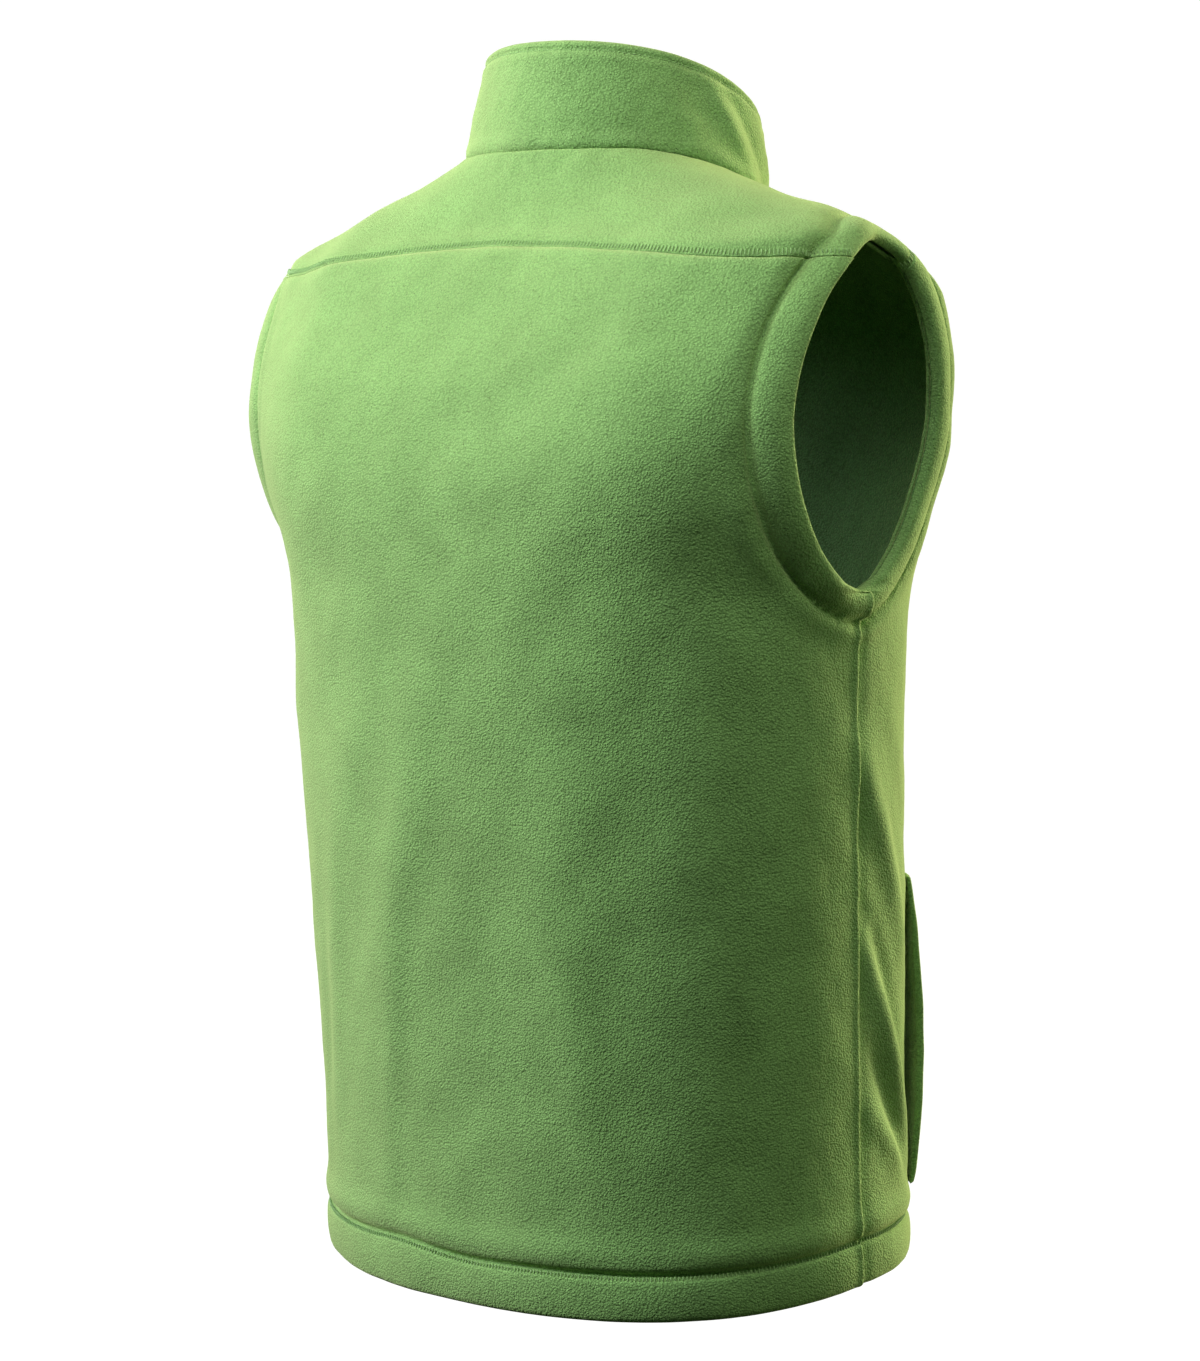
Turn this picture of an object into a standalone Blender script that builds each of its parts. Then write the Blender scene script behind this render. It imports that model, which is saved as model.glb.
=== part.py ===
"""Fleece vest: a sleeveless jacket with a stand collar, worn shape, nobody in it.

Metres, +Z up. The origin is the middle of the line over the shoulders at the
foot of the neck. The vest's front faces -Y and the wearer's left is +X.

The cloth follows one body form: a stack of rings, each a superellipse. A place
on it is given by `turn` (0 at the left side, 90 degrees at the middle of the
back, -90 at the middle of the front) and `level` (the ring's height at the
sides). Every panel is a wall of cloth laid between its seams on that form.
"""
import math

import bmesh
import bpy
import numpy as np

# ---------------------------------------------------------------- sizes
CLOTH = 0.0030            # fleece, pile to pile
TURNED_CLOTH = 0.0064     # fleece folded back on itself, as at the hem and collar
SEAM_GAP = 0.00035        # between two pieces that meet
LAYER_GAP = 0.0026        # between two curved pieces that lie on each other

HEM_LEVEL = -0.650
HEM_DEPTH = 0.026         # turned up and stitched
HEM_STEP = 0.002          # over this the wall goes from two layers to one
UNDERARM_Z = -0.2435
NECK_LEVEL = -0.004

YOKE_LEVEL = -0.0460      # back yoke seam at the middle of the back
YOKE_FALL = 0.026         # and how far it falls towards the armholes
SHOULDER_SEAM_NECK = math.radians(-27)     # where the front shoulder seam meets the neck
SHOULDER_SEAM_ARM = math.radians(62)       # and where it meets the armhole

POCKET_TURN = math.radians(-31.1)
POCKET_TOP = -0.424
POCKET_FOOT = -0.602
POCKET_MOUTH = 0.012      # how wide the slit stands open
POCKET_END = 0.003        # and at its two ends
WELT_OVERRUN = 0.006      # the welt runs past both ends of the slit
WELT_FLAT_FACE = 0.0034   # heights of the welt's face and back at its two ends
WELT_FLAT_BACK = 0.0006
WELT_SWELL = 0.6          # power of the sine by which it rises between them
BAG_BEHIND = 0.020        # pocket bag, from the slit's middle towards the side seam
BAG_AHEAD = 0.125         # and towards the zip
BAG_TOP = -0.400
BAG_FOOT = -0.616
BAG_ROOM = 0.0105         # space for a hand between panel and bag
BAG_WALL = 0.0016
BAG_SWELL_ACROSS = 2.2    # how soon that space opens from the bag's edges
BAG_SWELL_UP = 1.8

COLLAR_ROUND = 0.0022     # rounding of the collar's top fold
COLLAR_SHOULDER = 0.7     # share of that rounding taken in from each face
COLLAR_LIFT = 0.0006      # collar's foot above the neck seam
COLLAR_BELLY = 0.0012     # outward swell at half its height
YOKE_NECK_CORNER = math.radians(28)        # yoke's turn at the neck where its arms start
SHOULDER_POWER = 1.4      # spaces the rows evenly over the shoulder
FACING_SHARE = 0.86       # facing's inner edge, as a share of the way to the stitch line
FACING_SET_IN = 0.05      # and its outer edge
FACING_WALL = 0.0022
FACING_GAP = math.radians(0.5)             # between the back and the front facing

ZIP_HALF_GAP = 0.0065     # front edges to the middle of the zip
TAPE_OUTER = 0.0160
TAPE_DEPTH = 0.0044       # from the cloth's face to the tape's face
TAPE_WALL = 0.0008
TEETH_INNER = 0.0002
TEETH_OUTER = 0.0030
TEETH_WALL = 0.0026
TEETH_DEPTH = TAPE_DEPTH + TAPE_WALL / 2 - TEETH_WALL / 2
ZIP_STOP_TOP = 0.0045     # slider's top below the collar's top edge
ZIP_FOOT = 0.0030         # above the hem's edge
ZIP_TAPE_FALL = 0.0010    # tape's end below the collar's top edge
SLIDER_WIDTH = 0.0090
SLIDER_HEIGHT = 0.0110
SLIDER_PLATE = 0.0013
SLIDER_GAP = 0.00035
SLIDER_BEVEL = 0.0004
SLIDER_OVERLAP = 0.0004   # by which joined blocks enter each other
STOP_HEIGHT = 0.0022
STOP_FALL = 0.0008        # stop's top below the slider's top
RETAINER_HEIGHT = 0.0080
RETAINER_PROUD = 0.0008   # beyond the teeth on each face
RETAINER_BEVEL = 0.0005
POST_HALF_WIDTH = 0.0013
POST_HEIGHT = 0.0042
ARCH_HEIGHT = 0.0066
ARCH_WIDTH = 0.0018
ARCH_ROOM = 0.0021        # under the arch
ARCH_BAR = 0.0012
PULL_WIDTH = 0.0066
PULL_LENGTH = 0.0270
PULL_WALL = 0.0013
PULL_BEVEL = 0.0003
PULL_EYE_WIDTH = 0.0032
PULL_EYE_HEIGHT = 0.0056

# Rows and columns of the walls.
POCKET_ROWS = 5
ABOVE_POCKET_ROWS = 6
ARMHOLE_ROWS = 11
SHOULDER_ROWS = 7
BACK_COLUMNS = 18
SHOULDER_TURNS = 6        # columns of the yoke between its back corner and its front seam
FRONT_BEHIND_SLIT = 4
FRONT_BEFORE_SLIT = 8
COLLAR_COLUMNS = 30
COLLAR_ROWS = 4
FACING_COLUMNS = 14
FACING_ROWS = 2
WELT_ROWS = 10
BAG_COLUMNS = 8
BAG_ROWS = 8
ZIP_BODY_ROWS = 18
ZIP_COLLAR_ROWS = 4

# The body form, from hem to neck. `level` is the ring's height at the sides,
# `half` its half width, `behind` and `before` its back and front in Y, `square`
# the superellipse's power, `tilt` and `dip` its rise towards back and front.
FORM_COLUMNS = ("level", "half", "behind", "before", "square", "tilt", "dip")
FORM_ROWS = np.array((
    (-0.650, 0.1900, 0.1150, -0.1580, 2.33, -0.0115, -0.0040),   # hem
    (-0.560, 0.1905, 0.1200, -0.1540, 2.33, -0.0070, -0.0030),
    (-0.450, 0.1940, 0.1275, -0.1480, 2.33, -0.0030, -0.0010),   # waist
    (-0.340, 0.1985, 0.1360, -0.1400, 2.33, 0.0000, 0.0000),
    (-0.250, 0.2030, 0.1410, -0.1345, 2.45, 0.0060, -0.0060),    # chest
    (-0.190, 0.2085, 0.1430, -0.1310, 3.10, 0.0130, -0.0130),
    (-0.130, 0.2130, 0.1320, -0.1300, 3.80, 0.0200, -0.0200),
    (-0.085, 0.2160, 0.1145, -0.1255, 3.70, 0.0255, -0.0265),
    (-0.052, 0.2145, 0.1000, -0.1205, 3.40, 0.0290, -0.0310),    # shoulder point
    (-0.037, 0.1940, 0.0860, -0.1165, 2.75, 0.0310, -0.0290),
    (-0.022, 0.1440, 0.0750, -0.1135, 2.20, 0.0325, -0.0230),
    (-0.004, 0.0930, 0.0665, -0.1110, 2.00, 0.0322, -0.0177),    # foot of the neck
))

# The collar's top edge: half width, back and front in Y, height at the sides,
# its rise towards back and front.
COLLAR_TOP = {"half": 0.0836, "behind": 0.0540, "before": -0.1110,
              "side": 0.0531, "tilt": 0.0315, "dip": -0.0100}

# An armhole seen from the side: middle, reach to the back, front and up, power.
ARMHOLE_EDGE = {"y": 0.006, "z": -0.1445, "back": 0.070, "front": 0.064, "up": 0.0990, "power": 1.72}
ARMHOLE_STITCH = {"y": 0.006, "z": -0.1460, "back": 0.0905, "front": 0.0855, "up": 0.1145, "power": 1.78}

# Across a pocket welt: distance from the slit's front edge towards the zip,
# height of the welt's face and of its back above the panel.
WELT_SECTION = np.array((
    (0.0190, 0.0032, 0.0005),
    (0.0110, 0.0062, 0.0006),
    (0.0030, 0.0106, 0.0040),
    (-0.0035, 0.0116, 0.0068),
))

# Largest folds: where each starts and ends (turn in degrees, level), its half
# width and its height, a ridge above zero and a trough below.
FOLD_ROWS = np.array((
    (88.0, -0.300, 66.0, -0.545, 0.016, 0.0030),      # left half of the back
    (72.0, -0.310, 58.0, -0.420, 0.014, 0.0018),
    (104.0, -0.330, 97.0, -0.560, 0.022, -0.0016),
    (176.0, -0.300, 207.0, -0.408, 0.010, 0.0040),    # right side, falling to the pocket
    (177.0, -0.415, 206.0, -0.505, 0.011, 0.0038),
    (178.0, -0.520, 206.0, -0.575, 0.010, 0.0032),
    (4.0, -0.302, -27.0, -0.410, 0.010, 0.0038),      # left side, likewise
    (3.0, -0.417, -26.0, -0.507, 0.011, 0.0036),
    (2.0, -0.522, -26.0, -0.577, 0.010, 0.0030),
    (-56.0, -0.300, -74.0, -0.520, 0.020, 0.0022),    # fronts
    (-126.0, -0.320, -107.0, -0.500, 0.018, 0.0024),
))
FOLD_TAPER = 0.08         # share of a fold's length by which its ends stay above nothing
MEAN_RADIUS = 0.165       # turns a difference of turn into a distance round the body

FLEECE = ("fleece", (0.23, 0.46, 0.10), 0.95, 0.0)
FLEECE_INSIDE = ("fleece_inside", (0.16, 0.34, 0.08), 0.95, 0.0)
POCKET_CLOTH = ("pocket_cloth", (0.15, 0.32, 0.08), 0.9, 0.0)
TAPE_CLOTH = ("zip_tape", (0.16, 0.38, 0.08), 0.85, 0.0)
ZIP_PLASTIC = ("zip_teeth", (0.13, 0.34, 0.07), 0.45, 0.0)
ZIP_METAL = ("zip_metal", (0.42, 0.43, 0.42), 0.38, 1.0)


# ---------------------------------------------------------------- the form
def form_value(column, level):
    """A column of FORM_ROWS at any level, by a monotone curve through its rows."""
    stops = FORM_ROWS[:, 0]
    values = FORM_ROWS[:, FORM_COLUMNS.index(column)]
    level = np.clip(level, stops[0], stops[-1])
    step = np.diff(stops)
    slope = np.diff(values) / step
    rate = np.zeros(len(stops))
    rate[0] = slope[0]
    rate[-1] = slope[-1]
    for i in range(1, len(stops) - 1):
        if slope[i - 1] * slope[i] > 0:
            near = 2 * step[i] + step[i - 1]
            far = step[i] + 2 * step[i - 1]
            rate[i] = (near + far) / (near / slope[i - 1] + far / slope[i])
    k = np.clip(np.searchsorted(stops, level, side="right") - 1, 0, len(step) - 1)
    t = (level - stops[k]) / step[k]
    start = values[k] * (2 * t**3 - 3 * t**2 + 1) + step[k] * rate[k] * (t**3 - 2 * t**2 + t)
    end = values[k + 1] * (3 * t**2 - 2 * t**3) + step[k] * rate[k + 1] * (t**3 - t**2)
    return start + end


def ring_place(turn, half, behind, before, square):
    """X, Y and the share of the half depth, on a superellipse ring."""
    c = np.cos(turn)
    s = np.sin(turn)
    reach = (np.abs(c) ** square + np.abs(s) ** square) ** (-1 / square)
    share = reach * s
    return half * reach * c, (behind + before) / 2 + (behind - before) / 2 * share, share


def form_point(turn, level):
    """The body form without its folds."""
    x, y, share = ring_place(turn, *(form_value(name, level) for name in FORM_COLUMNS[1:5]))
    z = level + form_value("tilt", level) * share + form_value("dip", level) * share**2
    return np.stack((x, y, z + 0 * x), -1)


def form_normal(turn, level):
    """The form's outward direction."""
    small = 1e-4
    low = np.minimum(level, NECK_LEVEL - small)
    along = form_point(turn + small, low) - form_point(turn - small, low)
    up = form_point(turn, low + small) - form_point(turn, low - small)
    normal = np.cross(along, up)
    return normal / np.linalg.norm(normal, axis=-1, keepdims=True)


def fold_height(turn, level):
    """Height of the largest folds above the plain form."""
    height = np.zeros(np.broadcast(turn, level).shape)
    for turn_a, level_a, turn_b, level_b, half_width, peak in FOLD_ROWS:
        run = np.array((math.radians(turn_b - turn_a) * MEAN_RADIUS, level_b - level_a))
        length = np.linalg.norm(run)
        away = (turn - math.radians(turn_a) + math.pi) % (2 * math.pi) - math.pi
        across_x = away * MEAN_RADIUS
        across_z = level - level_a
        along = (across_x * run[0] + across_z * run[1]) / length
        aside = (across_x * run[1] - across_z * run[0]) / length
        end = np.clip(along / length, 0, 1)
        past = along - end * length
        taper = np.sin(np.pi * (FOLD_TAPER + (1 - 2 * FOLD_TAPER) * end))
        height = height + peak * taper * np.exp(-(aside**2 + past**2) / half_width**2)
    return height


def skin(turn, level, depth=0.0):
    """A point of the cloth's face, or one set `depth` below it."""
    turn, level = np.broadcast_arrays(np.asarray(turn, float), np.asarray(level, float))
    lift = fold_height(turn, level) - depth
    return form_point(turn, level) + form_normal(turn, level) * np.asarray(lift)[..., None]


def turn_at_y(level, y, side=1):
    """The turn at which the ring passes a given Y, on the left (1) or right (-1)."""
    behind = form_value("behind", level)
    before = form_value("before", level)
    share = np.clip((y - (behind + before) / 2) / ((behind - before) / 2), -1, 1)
    square = form_value("square", level)
    other = (1 - np.abs(share) ** square) ** (1 / square)
    return np.arctan2(share, side * other)


def turn_at_x(level, x, back):
    """The turn at which the ring passes a given X, at the back (1) or front (-1)."""
    share = np.clip(x / form_value("half", level), -1, 1)
    square = form_value("square", level)
    other = (1 - np.abs(share) ** square) ** (1 / square)
    return np.arctan2(back * other, share)


# ---------------------------------------------------------------- seam lines
def armhole_yz(angle, share):
    """Y and Z on the armhole (share 0 its edge, 1 its stitch line), 90 degrees at the top."""
    places = []
    for line in (ARMHOLE_EDGE, ARMHOLE_STITCH):
        c = np.cos(angle)
        s = np.sin(angle)
        r = (np.abs(c) ** line["power"] + np.abs(s) ** line["power"]) ** (-1 / line["power"])
        wide = np.where(c >= 0, line["back"], line["front"])
        places.append((line["y"] + wide * r * c, line["z"] + line["up"] * r * s))
    (y0, z0), (y1, z1) = places
    return y0 + (y1 - y0) * share, z0 + (z1 - z0) * share


def armhole_place(angle, share=0.0):
    """Turn and level on the left armhole."""
    y, z = armhole_yz(angle, share)
    level = np.array(z, float)
    for _ in range(14):
        behind = form_value("behind", level)
        before = form_value("before", level)
        part = np.clip((y - (behind + before) / 2) / ((behind - before) / 2), -1, 1)
        level = z - form_value("tilt", level) * part - form_value("dip", level) * part**2
    return turn_at_y(level, y), level


def yoke_level(turn, level):
    """The back yoke seam's level at a turn (one step of its own equation)."""
    x, _, _ = ring_place(turn, 1.0, 1.0, -1.0, form_value("square", level))
    return YOKE_LEVEL - YOKE_FALL * x**2


def yoke_corner():
    """The armhole angle where the back yoke seam meets the armhole's edge."""
    low = 0.0
    high = math.pi / 2
    for _ in range(40):
        angle = (low + high) / 2
        turn, level = armhole_place(angle)
        if level < yoke_level(turn, level):
            low = angle
        else:
            high = angle
    return angle


def side_seam_levels():
    """Row levels from hem to underarm, shared by the back and the fronts."""
    hem_top = HEM_LEVEL + HEM_DEPTH
    hem = [HEM_LEVEL, hem_top, hem_top + HEM_STEP]
    pocket = list(np.linspace(POCKET_FOOT, POCKET_TOP, POCKET_ROWS + 1))
    above = list(np.linspace(POCKET_TOP, UNDERARM_Z, ABOVE_POCKET_ROWS + 1))[1:]
    return np.array(hem + pocket + above)


YOKE_CORNER = yoke_corner()
UNDERARM = -math.pi / 2
FRONT_CORNER = math.pi - SHOULDER_SEAM_ARM


def side_seam_turn(level, toward):
    """The side seam's turn, half a seam gap to the back (1) or to the front (-1)."""
    middle = (form_value("behind", level) + form_value("before", level)) / 2
    return turn_at_y(level, middle + SEAM_GAP / 2 * toward)


def back_edge():
    """Turn and level of each row of the back, on its left edge, from hem to yoke."""
    level = side_seam_levels()
    turn = side_seam_turn(level, 1)
    angle = np.linspace(UNDERARM, YOKE_CORNER, ARMHOLE_ROWS + 1)[1:]
    arm_turn, arm_level = armhole_place(angle)
    return np.append(turn, arm_turn), np.append(level, arm_level)


def shoulder_law(v):
    """Share of the way up the shoulder, so that rows are evenly spaced over it."""
    return 1 - (1 - v) ** SHOULDER_POWER


def shoulder_seam(v):
    """Turn and level on the front shoulder seam, from the armhole (0) to the neck (1)."""
    turn, level = armhole_place(FRONT_CORNER)
    share = shoulder_law(v)
    return turn + (SHOULDER_SEAM_NECK - turn) * v, level + (NECK_LEVEL - level) * share


def front_edge():
    """Turn and level of each row of the left front, on its side edge, hem to neck."""
    level = side_seam_levels()
    turn = side_seam_turn(level, -1)
    angle = np.linspace(UNDERARM, FRONT_CORNER - 2 * math.pi, ARMHOLE_ROWS + 1)[1:]
    arm_turn, arm_level = armhole_place(angle)
    up_turn, up_level = shoulder_seam(np.linspace(0, 1, SHOULDER_ROWS + 1)[1:])
    turns = np.concatenate((turn, arm_turn, up_turn))
    return turns, np.concatenate((level, arm_level, up_level))


# ---------------------------------------------------------------- making solids
def material(kind):
    name, colour, roughness, metallic = kind
    made = bpy.data.materials.get(name)
    if made is None:
        made = bpy.data.materials.new(name)
        made.use_nodes = True
        shader = made.node_tree.nodes["Principled BSDF"]
        shader.inputs["Base Color"].default_value = (*colour, 1.0)
        shader.inputs["Roughness"].default_value = roughness
        shader.inputs["Metallic"].default_value = metallic
    return made


def finish_object(name, mesh_maker, kind):
    """Turn a bmesh into a named object in the vest's collection."""
    bmesh.ops.recalc_face_normals(mesh_maker, faces=mesh_maker.faces[:])
    if mesh_maker.calc_volume(signed=True) < 0:
        bmesh.ops.reverse_faces(mesh_maker, faces=mesh_maker.faces[:])
    mesh = bpy.data.meshes.new(name)
    mesh_maker.to_mesh(mesh)
    mesh_maker.free()
    mesh.shade_smooth()
    mesh.set_sharp_from_angle(angle=math.radians(50))
    mesh.materials.append(material(kind))
    made = bpy.data.objects.new(name, mesh)
    VEST.objects.link(made)
    return made


def wall(name, columns, rows, place, kind, slit=None):
    """A wall of cloth: a grid doubled through its thickness, then laid in place.

    `place` takes column, row (whole numbers) and layer (0 face, 1 back) as
    arrays. `slit` names a column and a first and last row to leave open.
    """
    sheet = bmesh.new()
    bmesh.ops.create_grid(sheet, x_segments=columns, y_segments=rows, size=0.5)
    if slit is not None:
        gap_column, first, last = slit
        gone = []
        for face in sheet.faces:
            middle = face.calc_center_median()
            column = math.floor((middle.x + 0.5) * columns)
            row = math.floor((middle.y + 0.5) * rows)
            if column == gap_column and first <= row < last:
                gone.append(face)
        bmesh.ops.delete(sheet, geom=gone, context="FACES")
    doubled = bmesh.ops.extrude_face_region(sheet, geom=sheet.faces[:], use_keep_orig=True)
    backs = {item for item in doubled["geom"] if isinstance(item, bmesh.types.BMVert)}
    corners = list(sheet.verts)
    column = np.array([round((corner.co.x + 0.5) * columns) for corner in corners])
    row = np.array([round((corner.co.y + 0.5) * rows) for corner in corners])
    layer = np.array([1.0 if corner in backs else 0.0 for corner in corners])
    for corner, point in zip(corners, place(column, row, layer)):
        corner.co = point
    return finish_object(name, sheet, kind)


def hem_wall(level):
    """Thickness of a panel: two layers in the hem, one above it."""
    share = (level - HEM_LEVEL - HEM_DEPTH) / HEM_STEP
    return CLOTH + (TURNED_CLOTH - CLOTH) * (1 - np.clip(share, 0, 1))


# ---------------------------------------------------------------- panels
def make_back():
    edge_turn, edge_level = back_edge()
    rows = len(edge_level) - 1
    ramp = np.clip((edge_level - UNDERARM_Z) / (edge_level[-1] - UNDERARM_Z), 0, 1)
    corner_x = ring_place(edge_turn[-1], 1.0, 1.0, -1.0, form_value("square", edge_level[-1]))[0]

    def place(column, row, layer):
        u = 2 * column / BACK_COLUMNS - 1
        turn = math.pi / 2 + (edge_turn[row] - math.pi / 2) * u
        level = edge_level[row]
        x, _, _ = ring_place(turn, 1.0, 1.0, -1.0, form_value("square", level))
        level = level + YOKE_FALL * ramp[row] * (corner_x**2 - np.minimum(x**2, corner_x**2))
        level = level - SEAM_GAP / 2 * (row == rows)
        return skin(turn, level, layer * hem_wall(level))

    wall("back_panel", BACK_COLUMNS, rows, place, FLEECE)


def make_yoke():
    """Back yoke, with an arm over each shoulder to the front shoulder seam."""
    half_back = BACK_COLUMNS // 2
    half = half_back + SHOULDER_TURNS
    corner_turn, _ = armhole_place(YOKE_CORNER)
    front_end = FRONT_CORNER - SEAM_GAP / ARMHOLE_EDGE["front"]
    neck_end = SHOULDER_SEAM_NECK + SEAM_GAP / COLLAR_TOP["half"]

    def place(column, row, layer):
        u = column - half
        side = np.sign(u)
        step = np.abs(u)
        over = np.clip((step - half_back) / SHOULDER_TURNS, 0, 1)
        back_share = np.clip(step / half_back, 0, 1)
        back_turn = math.pi / 2 + (corner_turn - math.pi / 2) * back_share
        angle = YOKE_CORNER + (front_end - YOKE_CORNER) * over
        arm_turn, arm_level = armhole_place(angle)
        on_back = step <= half_back
        foot_turn = np.where(on_back, back_turn, arm_turn)
        foot_level = np.where(on_back, yoke_level(back_turn, YOKE_LEVEL) + SEAM_GAP / 2, arm_level)
        neck_back = math.pi / 2 + (YOKE_NECK_CORNER - math.pi / 2) * back_share
        neck_over = YOKE_NECK_CORNER + (neck_end - YOKE_NECK_CORNER) * over
        neck_turn = np.where(on_back, neck_back, neck_over)
        v = row / SHOULDER_ROWS
        turn = foot_turn + (neck_turn - foot_turn) * v
        level = foot_level + (NECK_LEVEL - foot_level) * shoulder_law(v)
        turn = np.where(side < 0, math.pi - turn, turn)
        return skin(turn, level, layer * CLOTH)

    wall("back_yoke", 2 * half, SHOULDER_ROWS, place, FLEECE)


def make_front(name, side):
    """A front, from side seam to zip, open along its pocket mouth."""
    edge_turn, edge_level = front_edge()
    rows = len(edge_level) - 1
    columns = FRONT_BEHIND_SLIT + 1 + FRONT_BEFORE_SLIT
    zip_turn = turn_at_x(edge_level, ZIP_HALF_GAP, -1)
    first = list(np.round(edge_level, 6)).index(round(POCKET_FOOT, 6))
    last = list(np.round(edge_level, 6)).index(round(POCKET_TOP, 6))
    inside = (np.arange(rows + 1) > first) & (np.arange(rows + 1) < last)
    mouth = np.where(inside, POCKET_MOUTH, POCKET_END) / MEAN_RADIUS
    scale = (zip_turn - edge_turn) / (zip_turn[0] - edge_turn[0])
    near = edge_turn + (POCKET_TURN - edge_turn[0]) * scale + mouth / 2
    far = near - mouth

    def place(column, row, layer):
        back_part = np.clip(column / FRONT_BEHIND_SLIT, 0, 1)
        front_part = np.clip((column - FRONT_BEHIND_SLIT - 1) / FRONT_BEFORE_SLIT, 0, 1)
        behind_slit = edge_turn[row] + (near[row] - edge_turn[row]) * back_part
        before_slit = far[row] + (zip_turn[row] - far[row]) * front_part
        turn = np.where(column <= FRONT_BEHIND_SLIT, behind_slit, before_slit)
        turn = turn if side > 0 else math.pi - turn
        level = edge_level[row]
        points = skin(turn, level, layer * hem_wall(level))
        points[..., 0] = np.where(column == columns, side * ZIP_HALF_GAP, points[..., 0])
        return points

    wall(name, columns, rows, place, FLEECE, slit=(FRONT_BEHIND_SLIT, first, last))


# ---------------------------------------------------------------- collar
def collar_line(turn, share):
    """The collar's face at a turn, from the neck seam (0) to the top (1)."""
    foot = form_point(turn, np.full(np.shape(turn), NECK_LEVEL))
    x, y, part = ring_place(turn, COLLAR_TOP["half"], COLLAR_TOP["behind"], COLLAR_TOP["before"], 2.0)
    z = COLLAR_TOP["side"] + COLLAR_TOP["tilt"] * part + COLLAR_TOP["dip"] * part**2
    top = np.stack((x, y, z), -1)
    share = np.asarray(share)[..., None]
    belly = np.sin(np.pi * share) * COLLAR_BELLY
    out = np.stack((np.cos(turn), np.sin(turn), 0 * turn), -1)
    return foot + (top - foot) * share + out * belly


def make_collar():
    start = math.asin(ZIP_HALF_GAP / COLLAR_TOP["half"]) - math.pi / 2
    sweep = 2 * math.pi - 2 * (start + math.pi / 2)
    height = COLLAR_TOP["side"] - NECK_LEVEL
    shares = np.append(np.linspace(0, 1 - COLLAR_ROUND / height, COLLAR_ROWS), 1.0)
    shares[0] = COLLAR_LIFT / height
    rounded = np.append(np.zeros(COLLAR_ROWS), COLLAR_ROUND * COLLAR_SHOULDER)

    def place(column, row, layer):
        turn = start + sweep * column / COLLAR_COLUMNS
        points = collar_line(turn, shares[row])
        out = np.stack((np.cos(turn), np.sin(turn), 0 * turn), -1)
        depth = layer * (TURNED_CLOTH - 2 * rounded[row]) + rounded[row]
        points = points - out * depth[..., None]
        at_end = (column == 0) | (column == COLLAR_COLUMNS)
        end_x = np.where(column == 0, ZIP_HALF_GAP, -ZIP_HALF_GAP)
        points[..., 0] = np.where(at_end, end_x, points[..., 0])
        return points

    wall("collar", COLLAR_COLUMNS, COLLAR_ROWS, place, FLEECE)


# ---------------------------------------------------------------- armhole facings
def make_facing(name, side, back):
    """The strip behind an armhole's edge, from underarm to shoulder top."""
    start = UNDERARM + FACING_GAP if back else UNDERARM - FACING_GAP
    end = math.pi / 2 - FACING_GAP if back else FACING_GAP - 3 * math.pi / 2

    def place(column, row, layer):
        angle = start + (end - start) * column / FACING_COLUMNS
        share = FACING_SET_IN + (FACING_SHARE - FACING_SET_IN) * row / FACING_ROWS
        turn, level = armhole_place(angle, share)
        turn = turn if side > 0 else math.pi - turn
        return skin(turn, level, CLOTH + LAYER_GAP + layer * FACING_WALL)

    wall(name, FACING_COLUMNS, FACING_ROWS, place, FLEECE_INSIDE)


# ---------------------------------------------------------------- pockets
def make_welt(name, side):
    """The folded lip along the front of a pocket mouth, standing off the panel."""
    top = POCKET_TOP + WELT_OVERRUN
    foot = POCKET_FOOT - WELT_OVERRUN

    def place(column, row, layer):
        share = row / WELT_ROWS
        level = foot + (top - foot) * share
        raised = np.sin(np.pi * share) ** WELT_SWELL
        ahead, face, back = (WELT_SECTION[column, i] for i in range(3))
        face = WELT_FLAT_FACE + (face - WELT_FLAT_FACE) * raised
        back = WELT_FLAT_BACK + (back - WELT_FLAT_BACK) * raised
        slit_edge = POCKET_MOUTH / 2
        turn = POCKET_TURN - (slit_edge + ahead) / MEAN_RADIUS
        turn = turn if side > 0 else math.pi - turn
        height = face + (back - face) * layer
        return skin(turn, level, -height)

    wall(name, len(WELT_SECTION) - 1, WELT_ROWS, place, FLEECE)


def make_bag(name, side):
    """The pocket's inner layer, sewn to the front all round and loose between."""

    def place(column, row, layer):
        across = column / BAG_COLUMNS
        up = row / BAG_ROWS
        distance = -BAG_BEHIND + (BAG_BEHIND + BAG_AHEAD) * across
        turn = POCKET_TURN - distance / MEAN_RADIUS
        turn = turn if side > 0 else math.pi - turn
        level = BAG_FOOT + (BAG_TOP - BAG_FOOT) * up
        room = np.minimum(1, BAG_SWELL_ACROSS * np.sin(np.pi * across))
        room = room * np.minimum(1, BAG_SWELL_UP * np.sin(np.pi * up))
        depth = CLOTH + LAYER_GAP + BAG_ROOM * np.maximum(room, 0) + layer * BAG_WALL
        return skin(turn, level, depth)

    wall(name, BAG_COLUMNS, BAG_ROWS, place, POCKET_CLOTH)


# ---------------------------------------------------------------- zip
COLLAR_FRONT_TOP = COLLAR_TOP["side"] - COLLAR_TOP["tilt"] + COLLAR_TOP["dip"]
FRONT_Y = COLLAR_TOP["before"]


def front_middle(level):
    """Y and Z of the cloth's face at the middle of the front."""
    point = skin(np.full(np.shape(level), -math.pi / 2), level)
    return point[..., 1], point[..., 2]


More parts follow.
